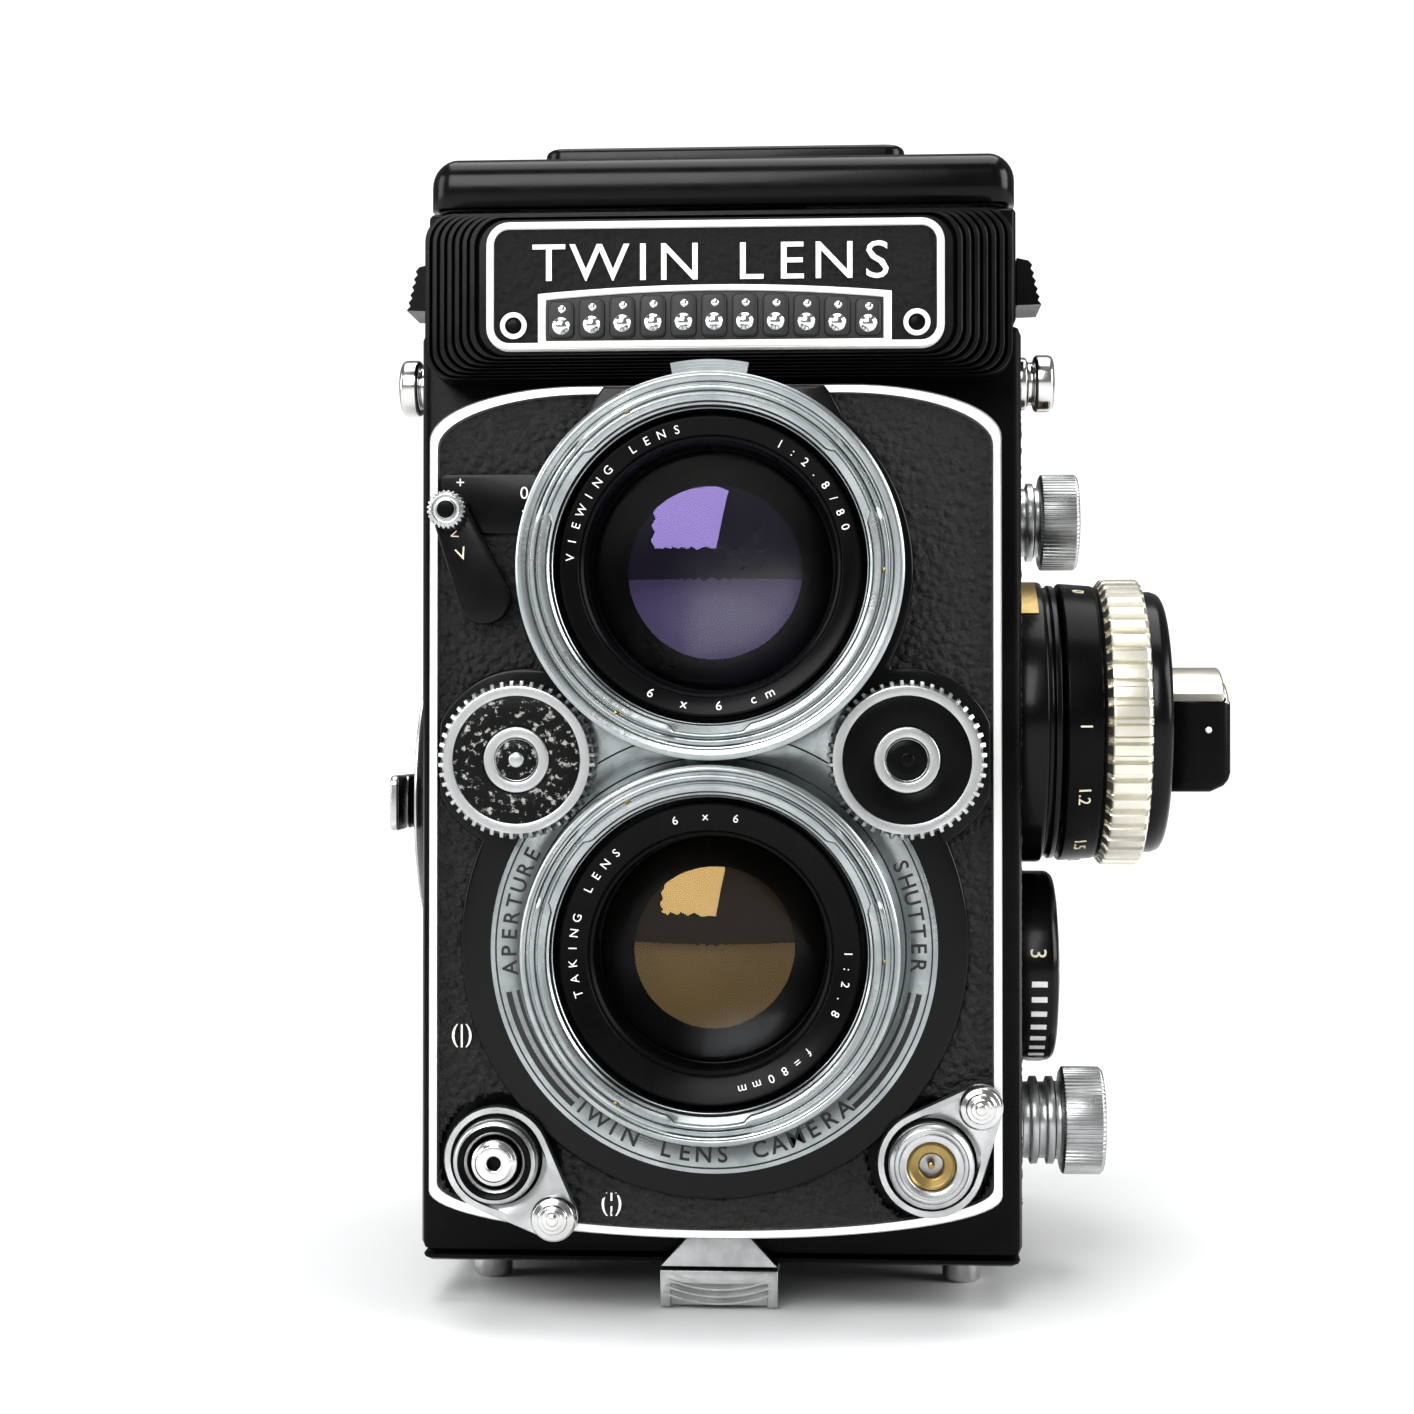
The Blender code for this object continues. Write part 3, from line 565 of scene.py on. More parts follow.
def leather_sheet(name, outline, holes, height, body, centre, facing, stands_for=(), step=0.42):
    """A sheet of pebbled leather on a fine grid, open at the round holes."""
    left, right = min(x for x, z in outline), max(x for x, z in outline)
    low, high = min(z for x, z in outline), max(z for x, z in outline)
    columns = int((right - left) / step)
    rows = int((high - low) / step)
    points = []
    kept = []
    for row in range(rows + 1):
        for column in range(columns + 1):
            x = left + (right - left) * column / columns
            z = low + (high - low) * row / rows
            near, _ = noise.voronoi(Vector((x * 0.95, z * 0.95, 0.5)))
            lump = min(1.0, (near[1] - near[0]) * 2.2)
            swell = noise.noise(Vector((x * 0.12, z * 0.12, 3.0)))
            points.append((x, z, height + 0.17 * lump + 0.03 * swell))
            clear = all((x - a) ** 2 + (z - b) ** 2 > r * r for a, b, r in holes)
            kept.append(inside(x, z, outline) and clear)
    faces = []
    for row in range(rows):
        for column in range(columns):
            corner = row * (columns + 1) + column
            quad = (corner, corner + 1, corner + columns + 2, corner + columns + 1)
            if all(kept[i] for i in quad):
                faces.append(quad)
    used = sorted({i for quad in faces for i in quad})
    index = {old: new for new, old in enumerate(used)}
    mesh = mesh_from(name, [points[i] for i in used], [tuple(index[i] for i in quad) for quad in faces])
    sheet = add(name, mesh, LEATHER, body, centre, facing, stands_for, angle=80)
    if sum(p.normal.z for p in mesh.polygons) < 0:
        mesh.flip_normals()
    thick = sheet.modifiers.new("thickness", "SOLIDIFY")
    thick.thickness = 0.25 * MM
    thick.offset = -1.0
    return sheet


def mask_outlines():
    """The silver mask round the taking lens, cut away round the viewing lens."""
    outer = []
    inner = []
    for i in range(240):
        ray = Vector((math.cos(math.pi * i / 120), math.sin(math.pi * i / 120)))
        reach = 24.8
        for rise, radius, cuts in ((22.8, 15.5, False), (VIEW_Z - TAKE_Z, 19.8, True)):
            along = ray.y * rise
            square = radius ** 2 - rise ** 2 + along ** 2
            if square > 0 and along > 0 and cuts:
                reach = min(reach, along - math.sqrt(square))
            elif square > 0 and along > 0:
                reach = max(reach, along + math.sqrt(square))
        outer.append((ray.x * reach, ray.y * reach))
        inner.append((ray.x * 19.75, ray.y * 19.75))
    return outer, inner


def lens_panel():
    body = "lens_panel"
    at = (0, FACE, 0)
    refine("front_panel", SATIN_BLACK)
    holes = [(0, VIEW_Z, 20.2), (0, TAKE_Z, 26.0), (-CORNER_X, CORNER_Z, 6.6), (CORNER_X, CORNER_Z, 6.6),
             (-WHEEL_X, WHEEL_Z, 4.0), (WHEEL_X, WHEEL_Z, 4.0), (*TIMER, 2.1)]
    leather_sheet("panel_leather_pebbled", panel_outline(0.7), holes, 0.62, body, at, "front",
                  ("panel_leather",))
    strip("panel_trim", panel_outline(0.1), panel_outline(1.2), 0.1, 1.25, SILVER_TRIM, body, "satin_metal",
          at)
    circles = [(0, TAKE_Z + 0.5, 28.3), (-WHEEL_X, WHEEL_Z, 10.2), (WHEEL_X, WHEEL_Z, 10.2),
               (0, VIEW_Z, 22.2), (0, 96.0, 15.5)]
    slab("panel_apron", lambda inset: union_outline(circles, inset, 30.7, 105.3), 0.3, 1.45, ENAMEL, body,
         at, edge=0.4)
    view = (0, FACE, VIEW_Z)
    take = (0, FACE, TAKE_Z)
    strip("shutter_mask", *mask_outlines(), 1.3, 2.35, TURNED, body, "satin_metal", take,
          stands_for=("mask_plate",))
    for name, radius in (("mask_outer_line", 24.1), ("mask_inner_line", 21.2)):
        lathe(name, [(radius, 2.45), (radius + 0.16, 2.45), (radius + 0.16, 2.2), (radius, 2.2)], BLACK_FILL,
              body, take, corner=0.02)
    for side, start in (("left", 192), ("right", 312)):
        for index, (radius, wide) in enumerate(((22.0, 0.34), (22.9, 0.62))):
            band(f"mask_inlay_{side}_{index}", (0, 0), (radius, radius + wide), (start, start + 36, 20),
                 (2.2, 2.44), BLACK_FILL, body, take)
    words = (around("APERTURE", 2.4, 22.6, 2.42, 169, 4.7)
             + around("SHUTTER", 2.4, 22.6, 2.42, 10, 4.7)
             + around("TWIN LENS CAMERA", 2.6, 22.7, 2.42, 270, 5.3, inward=False))
    glyphs("mask_lettering", words, BLACK_FILL, body, take, "front", bold=0.03)
    mount_ring("viewing", view, 21.05)
    mount_ring("taking", take, 20.55)
    band("viewing_mount_tab", (0, 0), (20.6, 22.3), (79, 101, 16), (8.4, 9.5), TURNED, body, view)
    lens_insides(view, take)


def mount_ring(which, centre, rim):
    """A bayonet ring with a grooved front and three notches inside; rim is its outer radius."""
    profile = [(19.5, 0.3), (19.5, 8.3), (rim, 8.3), (rim, 9.75), (rim - 0.45, 10.1), (19.9, 10.1),
               (19.8, 9.85), (19.5, 9.85), (19.4, 10.2), (18.9, 10.3), (18.8, 10.0), (18.6, 10.0),
               (18.5, BAYONET_TOP), (17.7, BAYONET_TOP), (17.6, 10.1), (17.3, 10.0), (17.2, 8.9),
               (17.0, 8.8), (17.0, 0.3)]

    def notched(radius, height, angle):
        sector = math.degrees(angle + math.radians(30)) % 120
        edge = min(1.0, max(0.0, (14 - abs(sector - 60)) / 1.5))
        if 18.3 < radius < 18.7 and height > 10.3:
            return radius, height
        if 17.4 < radius < 17.9 and height > 10:
            return radius + 0.55 * edge, height
        if 18.7 < radius < 19.6 and 9.7 < height < 10.4:
            return radius, height - 0.25 * edge
        return radius, height

    lathe(which + "_mount", profile, TURNED, "lens_panel", centre,
          stands_for=(which + "_bayonet",), steps=240, corner=0.1, shape=notched)
    for index, angle in enumerate((118, 238, 358)):
        turn = math.radians(angle)
        spot = (19.0 * math.cos(turn), FACE - 10.0, centre[2] + 19.0 * math.sin(turn))
        screw(f"{which}_mount_pin_{index}", spot, "front", 0.42, "lens_panel", BRASS)


def screw(name, centre, facing, radius, body, paint=None, height=0.22, turn=0.6):
    """A small slotted screw head, sunk to its rim."""
    def slotted(r, h, angle):
        across = abs(r * math.sin(angle - turn))
        if h > 0 and across < radius * 0.22 and r < radius * 0.95:
            return r, h - height * 0.7
        return r, h

    profile = [(0, height), (radius * 0.45, height), (radius * 0.9, height * 0.9), (radius, height * 0.3),
               (radius, -0.3), (0, -0.3)]
    lathe(name, profile, paint or SATIN, body, centre, facing, steps=48, corner=0.03, shape=slotted)


def lens_insides(view, take):
    body = "lens_panel"
    tube = [(16.4, -3.0), (16.4, 8.45), (16.15, 8.7), (14.3, 8.05), (14.2, 7.5), (13.8, 7.3), (13.7, 6.2),
            (13.5, 6.0), (13.5, 1.3), (12.4, 0.7), (10.5, 0.1), (10.5, -3.0)]
    lathe("viewing_tube", tube, BLACK_RING, body, view, stands_for=("viewing_barrel",),
          steps=160)
    shutter = [(16.4, -8.0), (16.4, 8.45), (16.15, 8.7), (13.4, 7.7), (13.2, 7.0), (12.8, 6.8), (12.7, 1.5),
               (10.5, 1.2), (10.5, -8.0)]
    lathe("shutter_tube", shutter, BLACK_RING, body, take, stands_for=("shutter_housing",),
          steps=160)
    tilt = -math.radians(19.5)
    ring_words = (around("VIEWING LENS", 1.35, 15.2, 8.42, 140, 6.6, slope=tilt)
                  + around("1:2.8/80", 1.35, 15.2, 8.42, 38, 6.3, slope=tilt)
                  + around("6 x 6 cm", 1.5, 15.2, 8.42, 270, 7.2, inward=False, slope=tilt))
    glyphs("viewing_ring_lettering", ring_words, WHITE, body, view, "front")
    ring_words = (around("TAKING LENS", 1.35, 14.9, 8.3, 165, 6.4, slope=tilt)
                  + around("6 x 6", 1.35, 14.9, 8.3, 92, 6.4, slope=tilt)
                  + around("1:2.8  f=80mm", 1.35, 14.9, 8.3, -38, 6.4, slope=tilt))
    glyphs("taking_ring_lettering", ring_words, WHITE, body, take, "front")
    lens_glass("viewing", view, 13.3, 5.3, VIOLET_GLASS, VIOLET_DISH, -0.8)
    lens_glass("taking", take, 12.5, 5.4, AMBER_GLASS, AMBER_DISH, -1.5)
    for index in range(5):
        angle = math.radians(72 * index)
        outline = [(9.9 * math.cos(angle + t), 9.9 * math.sin(angle + t))
                   for t in (0.0, 0.35, 0.7, 1.05, 1.4)]
        outline += [(1.4 * math.cos(angle + 2.6), 1.4 * math.sin(angle + 2.6))]
        loops = [[(x, y, h - 3.2 + 0.05 * index) for x, y in outline] for h in (0.0, 0.04)]
        loft(f"shutter_leaf_{index}", loops, BLACK_RING, body, take,
             stands_for=("shutter_blades",))


def lens_glass(which, centre, radius, top, coating, dish, depth):
    """A front glass with a spherical face, and the curved element behind it."""
    bulge = top - 1.6
    dome = (radius ** 2 + bulge ** 2) / (2 * bulge)
    count = 16
    face = [(radius * i / count, math.sqrt(dome ** 2 - (radius * i / count) ** 2) - dome + top)
            for i in range(count + 1)]
    face += [(radius, 1.2), (radius * 0.9, 1.2), (0, 0.6)]
    lathe(which + "_front_glass", face, coating, "lens_panel", centre,
          stands_for=(which + "_glass",), corner=0.04)
    inner = 9.8
    bowl = [(inner * i / count, depth - 1.6 + 2.0 * (i / count) ** 2) for i in range(count + 1)]
    bowl += [(inner, depth - 2.1), (0, depth - 2.1)]
    lathe(which + "_inner_glass", bowl, dish, "lens_panel", centre, steps=96, corner=0.02)


# ---------------------------------------------------------------- front controls

def knurl(teeth, depth, low_radius, share=0.5):
    """A shape function that cuts flat-bottomed teeth into the outermost rim."""
    def cut(radius, height, angle):
        if radius < low_radius:
            return radius, height
        phase = (angle * teeth / (2 * math.pi)) % 1.0
        ramped = min(1.0, max(0.0, (abs(phase - 0.5) - share / 2 + 0.06) / 0.12))
        return radius - depth * ramped, height
    return cut


def wheel(name, x, worn):
    at = (x, FACE, WHEEL_Z)
    base = [(0, 6.7), (2.3, 6.7), (2.5, 7.0), (3.5, 7.0), (3.7, 6.7), (3.8, 6.6), (6.9, 6.6), (7.0, 6.95),
            (8.0, 6.95), (8.7, 6.5), (8.7, 4.1), (8.2, 3.9), (3.0, 3.6), (3.0, 0.4), (0, 0.4)]
    lathe(name + "_rim", base, SATIN, name, at, stands_for=(name,), steps=576, corner=0.08,
          shape=knurl(48, 0.42, 8.3, 0.45))
    paint = WORN_RING if worn else BLACK_RING
    lathe(name + "_black_ring", [(3.75, 6.5), (3.75, 6.84), (6.95, 6.84), (6.95, 6.5)], paint, name,
          at, corner=0.05)
    lathe(name + "_centre", [(0, 6.95), (1.6, 6.93), (2.2, 6.8), (2.3, 6.6), (0, 6.6)], paint, name,
          at, corner=0.1)
    lathe(name + "_dimple", [(0, 7.15), (0.7, 7.1), (0.9, 6.9), (0, 6.9)], SATIN if worn else BLACK_RING,
          name, at, steps=48, corner=0.08)


def corner_controls():
    release = (-CORNER_X, FACE, CORNER_Z)
    collar = [(3.0, 0.35), (3.0, 4.2), (3.3, 4.4), (3.9, 4.8), (4.5, 4.5), (4.7, 3.9), (4.7, 0.35)]
    lathe("release_ring", collar, SATIN, "lens_panel", release, stands_for=("release_collar",))
    lathe("release_ring_line", [(3.35, 4.45), (3.35, 4.62), (3.95, 4.92), (4.1, 4.86), (4.1, 4.3)],
          BLACK_RING, "lens_panel", release, corner=0.04)
    button = [(0, 2.5), (0.75, 2.5), (0.75, 5.2), (0.9, 5.35), (1.9, 5.35), (2.1, 5.1), (2.5, 4.9),
              (2.58, 4.6), (2.58, -0.6), (0, -0.6)]
    lathe("release_plunger", button, CHROME, "release_button", release,
          stands_for=("release_button",), corner=0.06)
    lathe("release_thread", [(0, 4.3), (0.74, 4.3), (0.74, 2.5), (0, 2.5)], BLACK_RING, "release_button",
          release, steps=48, corner=0.03)
    socket = (CORNER_X, FACE, CORNER_Z)
    shell = [(0, 1.3), (2.6, 1.3), (2.6, 4.4), (2.8, 4.7), (3.5, 4.85), (3.6, 4.5), (4.0, 4.5), (4.1, 4.75),
             (4.6, 4.3), (4.7, 4.0), (4.7, 0.35), (0, 0.35)]
    lathe("socket_shell", shell, SATIN, "lens_panel", socket, stands_for=("sync_socket",),
          corner=0.08)
    lathe("socket_lining", [(1.3, 1.5), (1.3, 3.6), (1.5, 3.8), (2.3, 3.9), (2.55, 4.2), (2.55, 1.5)], BRASS,
          "lens_panel", socket, corner=0.05)
    lathe("socket_pin", [(0, 3.7), (0.35, 3.6), (0.4, 3.3), (0.4, 1.35), (0, 1.35)], BRASS, "lens_panel",
          socket, steps=48, corner=0.05)
    lock_lever("release_lock", -CORNER_X, (6.4, -6.3), 2.6)
    lock_lever("sync_lock", CORNER_X, (5.4, 6.3), 2.5)
    marks = []
    for x, z in ((-28.2, 33.0), (-11.4, 14.4)):
        marks += [(sign, 2.8, Matrix.Translation((x, z, 0.9))) for sign in ("( )", "|")]
    glyphs("panel_marks", marks, WHITE, "lens_panel", (0, FACE, 0), "front", height=0.2)


def lock_lever(name, pivot_x, tip, tip_radius):
    """An arm round a fixed collar, with a ringed finger dome at its tip."""
    pivot = (pivot_x, CORNER_Z)
    end = (pivot_x + tip[0], CORNER_Z + tip[1])
    count = 24
    eye = 5.95
    outline = teardrop(pivot, eye, end, tip_radius, 0.0, count)
    run = Vector(tip)
    heading = math.degrees(math.atan2(run.y, run.x))
    lean = math.degrees(math.asin((eye - tip_radius) / run.length))
    bore = (arc(pivot, 5.05, heading + 90 - lean, heading + 270 + lean, count)
            + arc(pivot, 5.05, heading - 90 + lean, heading + 90 - lean, count))
    strip(name + "_arm", outline, bore, 1.6, 2.75, SATIN, name, "satin_metal", (0, FACE, 0),
          stands_for=(name,))
    knob = [(0, 4.9), (0.55, 4.9), (0.65, 4.7), (1.05, 4.7), (1.15, 4.55), (1.55, 4.5), (1.65, 4.2),
            (tip_radius - 0.3, 4.0), (tip_radius - 0.05, 3.5), (tip_radius - 0.05, 2.0), (0, 2.0)]
    lathe(name + "_dome", knob, CHROME, name, (end[0], FACE, end[1]), corner=0.08)


def timer():
    tip = (TIMER[0] - 4.0, TIMER[1] + 9.7)
    at = (0, FACE, 0)

    def slot_plate(inset):
        return [(x - 25.1, z) for x, z in rounded(5.6, 88.9, 95.6, 0.8, inset)]

    slab("timer_strip", slot_plate, 0.4, 1.12, ENAMEL, "lens_panel", at, edge=0.15)
    slab("timer_arm", lambda inset: teardrop(TIMER, 3.0, tip, 2.0, inset), 1.3, 2.6, ENAMEL, "timer_lever",
         at, stands_for=("timer_lever",), edge=0.35)
    grip = [(0, 4.6), (1.05, 4.6), (1.15, 4.25), (1.5, 4.25), (1.6, 4.5), (2.15, 4.2), (2.2, 2.6), (0, 2.6)]
    lathe("timer_grip", grip, SATIN, "timer_lever", (tip[0], FACE, tip[1]), steps=240,
          corner=0.06, shape=knurl(24, 0.18, 2.0))
    lathe("timer_grip_centre", [(0, 4.72), (0.95, 4.68), (1.05, 4.5), (0, 4.5)], BLACK_RING, "timer_lever",
          (tip[0], FACE, tip[1]), steps=48, corner=0.05)
    lathe("timer_stud", [(0, 1.4), (1.6, 1.4), (1.6, 0.2), (0, 0.2)], SATIN, "timer_lever",
          (TIMER[0], FACE, TIMER[1]), steps=48)
    marks = [("V", 2.0, Matrix.Translation((-28.0, 86.5, 2.63)) @ Matrix.Rotation(0.35, 4, "Z")),
             ("<", 1.7, Matrix.Translation((-28.8, 88.6, 2.63)) @ Matrix.Rotation(0.35, 4, "Z"))]
    glyphs("timer_marks", marks, CREAM, "timer_lever", at, "front")
    signs = [("0", 2.0, Matrix.Translation((-21.2, 93.4, 1.15))),
             ("-", 2.0, Matrix.Translation((-21.2, 91.6, 1.15))),
             ("+", 1.8, Matrix.Translation((-28.4, 94.6, 1.15)))]
    glyphs("timer_signs", signs, WHITE, "lens_panel", at, "front")


# ---------------------------------------------------------------- name bezel

def bezel():
    body = "camera_body"
    at = (0, FACE, 0)
    ribs = 7
    loops = [[(x, z, -11.0) for x, z in rounded(33.4, 107.3, 126.1, 2.6)]]
    for i in range(ribs):
        outer = 33.6 - 0.98 * i
        low = 107.2 + 0.27 * i
        high = 126.3 - 0.22 * i
        front = -5.6 + 0.76 * i
        for inset, height in ((0.0, front - 0.5), (0.0, front - 0.12), (0.12, front), (0.5, front),
                              (0.62, front - 0.12), (0.66, front - 0.5)):
            loops.append([(x, z, height) for x, z in
                          rounded(outer - inset, low + inset * 0.3, high - inset * 0.3, 3.2)])
    loops.append([(x, z, -1.0) for x, z in rounded(26.6, 109.2, 124.5, 3.2)])
    loft("bezel_ribs", loops, ENAMEL, body, at, stands_for=("meter_housing",))
    outer = rounded(25.7, 109.6, 124.1, 2.6)
    inner = rounded(25.7, 109.6, 124.1, 2.6, inset=0.9)
    strip("bezel_frame", outer, inner, -1.1, 0.15, WHITE, body, "meter_cells", at)
    slab("bezel_ground", round_plate(25.0, 110.2, 123.5, 2.0), -1.1, -0.15, CRACKLE, body, at,
         stands_for=("name_plate",), edge=0.1)
    window(body, at)
    title = [(letter, 6.0, Matrix.Translation((x, 119.2, -0.1)) @ Matrix.Diagonal((1.08, 1.0, 1, 1)))
             for letter, x in zip("TWINLENS", (-18.6, -12.9, -8.0, -3.9, 4.0, 8.6, 13.4, 18.2))]
    glyphs("bezel_lettering", title, WHITE, body, at, "front", height=0.25)
    for index, x in enumerate((-22.6, 22.6)):
        lathe(f"bezel_screw_ring_{index}", [(0.95, -0.2), (0.95, 0.1), (1.5, 0.1), (1.5, -0.2)], WHITE, body,
              (x, FACE, 112.4), corner=0.05)
        lathe(f"bezel_screw_{index}", [(0, 0.12), (0.7, 0.05), (0.85, -0.2), (0, -0.2)], BLACK_RING, body,
              (x, FACE, 112.4), steps=48, corner=0.05)


def window(body, at):
    """The arched light window: a pale band round eleven bright cells."""
    half = 18.9
    count = 40

    def arch(half_width, low, high, rise):
        top = [(half_width - 2 * half_width * i / count, 0.0) for i in range(count + 1)]
        top = [(x, high + rise * (1 - (x / half_width) ** 2)) for x, _ in top]
        base = [(-half_width + 2 * half_width * i / count, low) for i in range(count + 1)]
        return top + base

    strip("window_band", arch(half + 0.9, 109.8, 115.9, 0.9), arch(half, 110.6, 115.2, 0.9), -0.2, 0.3,
          WHITE, body, "meter_cells", at)
    cell_width = 2 * half / 11
    slab("window_well", lambda inset: arch(half - inset, 110.6 + inset, 115.2 - inset, 0.9), -0.15, 0.0,
         BLACK_FILL, body, at, stands_for=("meter_window",), edge=0.05)
    for index in range(11):
        middle = -half + cell_width * (index + 0.5)
        rise = 0.9 * (1 - (middle / half) ** 2)

        def cell(inset, middle=middle, rise=rise):
            return [(x + middle, z)
                    for x, z in rounded(cell_width / 2 - 0.28, 110.9, 114.9 + rise, 0.7, inset)]

        slab(f"window_cell_{index}", cell, -0.1, 0.42, BLACK_FILL, body, at, edge=0.3)
        bead = [(0, 0.95), (0.5, 0.86), (0.95, 0.55), (1.1, 0.3), (0, 0.3)]
        lathe(f"window_bead_{index}", bead, CELL, body, (middle, FACE, 112.2 + rise * 0.5),
              steps=48, corner=0.1)
        glint = [(0, 0.72), (0.35, 0.62), (0.55, 0.35), (0, 0.35)]
        lathe(f"window_glint_{index}", glint, CELL, body,
              (middle + 0.1, FACE, 114.0 + rise * 0.8), steps=32, corner=0.08)


# ---------------------------------------------------------------- right side

def rim_marks(name, count, radius, low, high, width, paint, body, centre, facing, start=0.0, sweep=360.0):
    """Short raised lines round a rim, along its axis."""
    points = []
    faces = []
    for i in range(count):
        angle = math.radians(start + sweep * i / count)
        across = Vector((-math.sin(angle), math.cos(angle), 0)) * width / 2
        inner = Vector((math.cos(angle), math.sin(angle), 0)) * (radius - 0.1)
        outer = Vector((math.cos(angle), math.sin(angle), 0)) * (radius + 0.06)
        base = len(points)
        for spot in (inner, outer):
            for side in (-1, 1):
                for height in (low, high):
                    points.append(spot + across * side + Vector((0, 0, height)))
        for quad in ((0, 1, 3, 2), (4, 6, 7, 5), (0, 4, 5, 1), (2, 3, 7, 6), (0, 2, 6, 4), (1, 5, 7, 3)):
            faces.append(tuple(base + k for k in quad))
    return add(name, mesh_from(name, points, faces), paint, body, centre, facing)


def focus_knob():
    at = (OUTSIDE, *KNOB)
    hub = [(0, 18.5), (2.4, 18.5), (2.4, 5.2), (16.6, 5.2), (17.0, 5.0), (17.1, 4.3), (16.8, 4.1),
           (16.8, 3.6), (17.4, 3.4), (17.5, 3.0), (17.5, 0), (2.3, 0), (2.3, -5.5), (0, -5.5)]
    lathe("knob_hub", hub, ENAMEL, "camera_body", at, "right", ("focus_hub",), steps=160)
    band("hub_index", (0, 0), (17.2, 17.62), (100, 132, 16), (0.5, 2.6), BRASS, "camera_body", at,
         "right")
    cone = [(2.8, 9.95), (16.9, 9.95), (17.0, 9.6), (17.3, 5.8), (17.1, 5.5), (2.8, 5.5)]
    lathe("knob_cone", cone, BLACK_RING, "focus_knob", at, "right", ("focus_cone",),
          steps=160, corner=0.1)
    words = []
    for index, text in enumerate(("0", "20", "10", "6", "4", "3", "2.5", "2", "1.5", "1.2", "1")):
        words.append((text, 2.1, Matrix.Rotation(math.radians(112 - 29 * index), 4, "Z")
                      @ Matrix.Translation((17.22, 0, 7.7)) @ Matrix.Rotation(math.pi / 2 - 0.09, 4, "Y")
                      @ Matrix.Rotation(math.pi / 2, 4, "Z")))
    glyphs("knob_figures", words, CREAM, "focus_knob", at, "right", height=0.12)

    def coarse(radius, height, angle):
        if radius < 17.0 or not 10.3 < height < 15.7:
            return radius, height
        phase = (angle * 48 / (2 * math.pi)) % 1.0
        groove = min(1.0, max(0.0, (abs(phase - 0.5) - 0.28) / 0.08))
        return radius - 0.8 * groove, height

    grip = [(2.8, 10.2), (16.6, 10.2), (17.0, 10.35), (17.7, 10.9), (17.8, 11.2), (17.8, 15.1), (17.6, 15.5),
            (16.6, 15.75), (2.8, 15.75)]
    lathe("knob_grip", grip, WARM_METAL, "focus_knob", at, "right", ("focus_ring",), steps=960,
          corner=0.08, shape=coarse)
    cap = [(2.8, 15.6), (16.2, 15.6), (16.25, 17.0), (15.9, 17.9), (15.2, 18.3), (9.0, 18.4), (8.8, 18.3),
           (2.8, 18.3)]
    lathe("knob_cap", cap, ENAMEL, "focus_knob", at, "right", steps=160, corner=0.25)
    readout()


def readout():
    """The readout on the knob's fixed centre: a black block under a silver arc."""
    at = (OUTSIDE, *KNOB)
    body = "camera_body"
    loops = []
    for height, inset, lean in ((18.6, 0.3, 0.0), (18.9, 0.0, 0.0), (24.0, 0.0, 0.0), (25.6, 0.15, 0.6),
                                (26.2, 0.5, 1.0), (26.5, 1.1, 1.4)):
        loops.append([(x, z + max(0.0, (3.0 - z) / 12.0) * lean, height)
                      for x, z in rounded(5.8, -8.6, 3.4, 1.2, inset)])
    loft("readout_body", loops, SATIN_BLACK, body, at, "right", ("readout_block",), angle=50)
    for index, (low, high, inner, outer) in enumerate(((18.7, 26.3, 5.6, 7.1), (18.7, 25.6, 7.3, 8.8))):
        def cap(inset, inner=inner, outer=outer):
            return (arc((0, -2.0), outer - inset, 38 + inset * 4, 142 - inset * 4, 24)
                    + arc((0, -2.0), inner + inset, 142 - inset * 4, 38 + inset * 4, 24))

        slab(f"readout_arc_{index}", cap, low, high, WARM_METAL, body, at, "right", edge=0.35)
    lathe("readout_dot", [(0, 0.25), (0.3, 0.22), (0.42, 0.0), (0.42, -0.3), (0, -0.3)], WHITE, body,
          (SIDE + 24.0, KNOB[0] - 5.8, KNOB[1] - 1.0), "front", steps=32, corner=0.05)
    lathe("readout_wheel", [(0, 26.5), (1.6, 26.5), (1.8, 26.4), (1.8, 25.5), (0, 25.5)], CHROME, body,
          (SIDE, KNOB[0], KNOB[1] - 2.0), "right", steps=192, corner=0.05,
          shape=knurl(24, 0.15, 1.7))


def side_knobs():
    """Two pull-out spool knobs, each on a ribbed bush."""
    profile = [(0, -7.0), (2.3, -7.0), (2.3, 0.0), (5.4, 0.0), (5.4, 0.9), (4.7, 1.1), (4.7, 1.9),
               (5.4, 2.1), (5.4, 2.9), (4.7, 3.1), (4.7, 3.9), (5.4, 4.1), (5.4, 4.9), (4.8, 5.1), (4.8, 5.7),
               (6.1, 5.8), (6.6, 6.1), (6.6, 10.6), (6.2, 11.0), (5.2, 11.15), (0, 11.15)]
    for name, place in (("spool_knob_upper", UPPER_SPOOL), ("spool_knob_lower", LOWER_SPOOL)):
        lathe(name + "_turned", profile, SATIN, name, (OUTSIDE, *place), "right", (name,),
              steps=576, corner=0.08, shape=knurl(72, 0.2, 6.5))


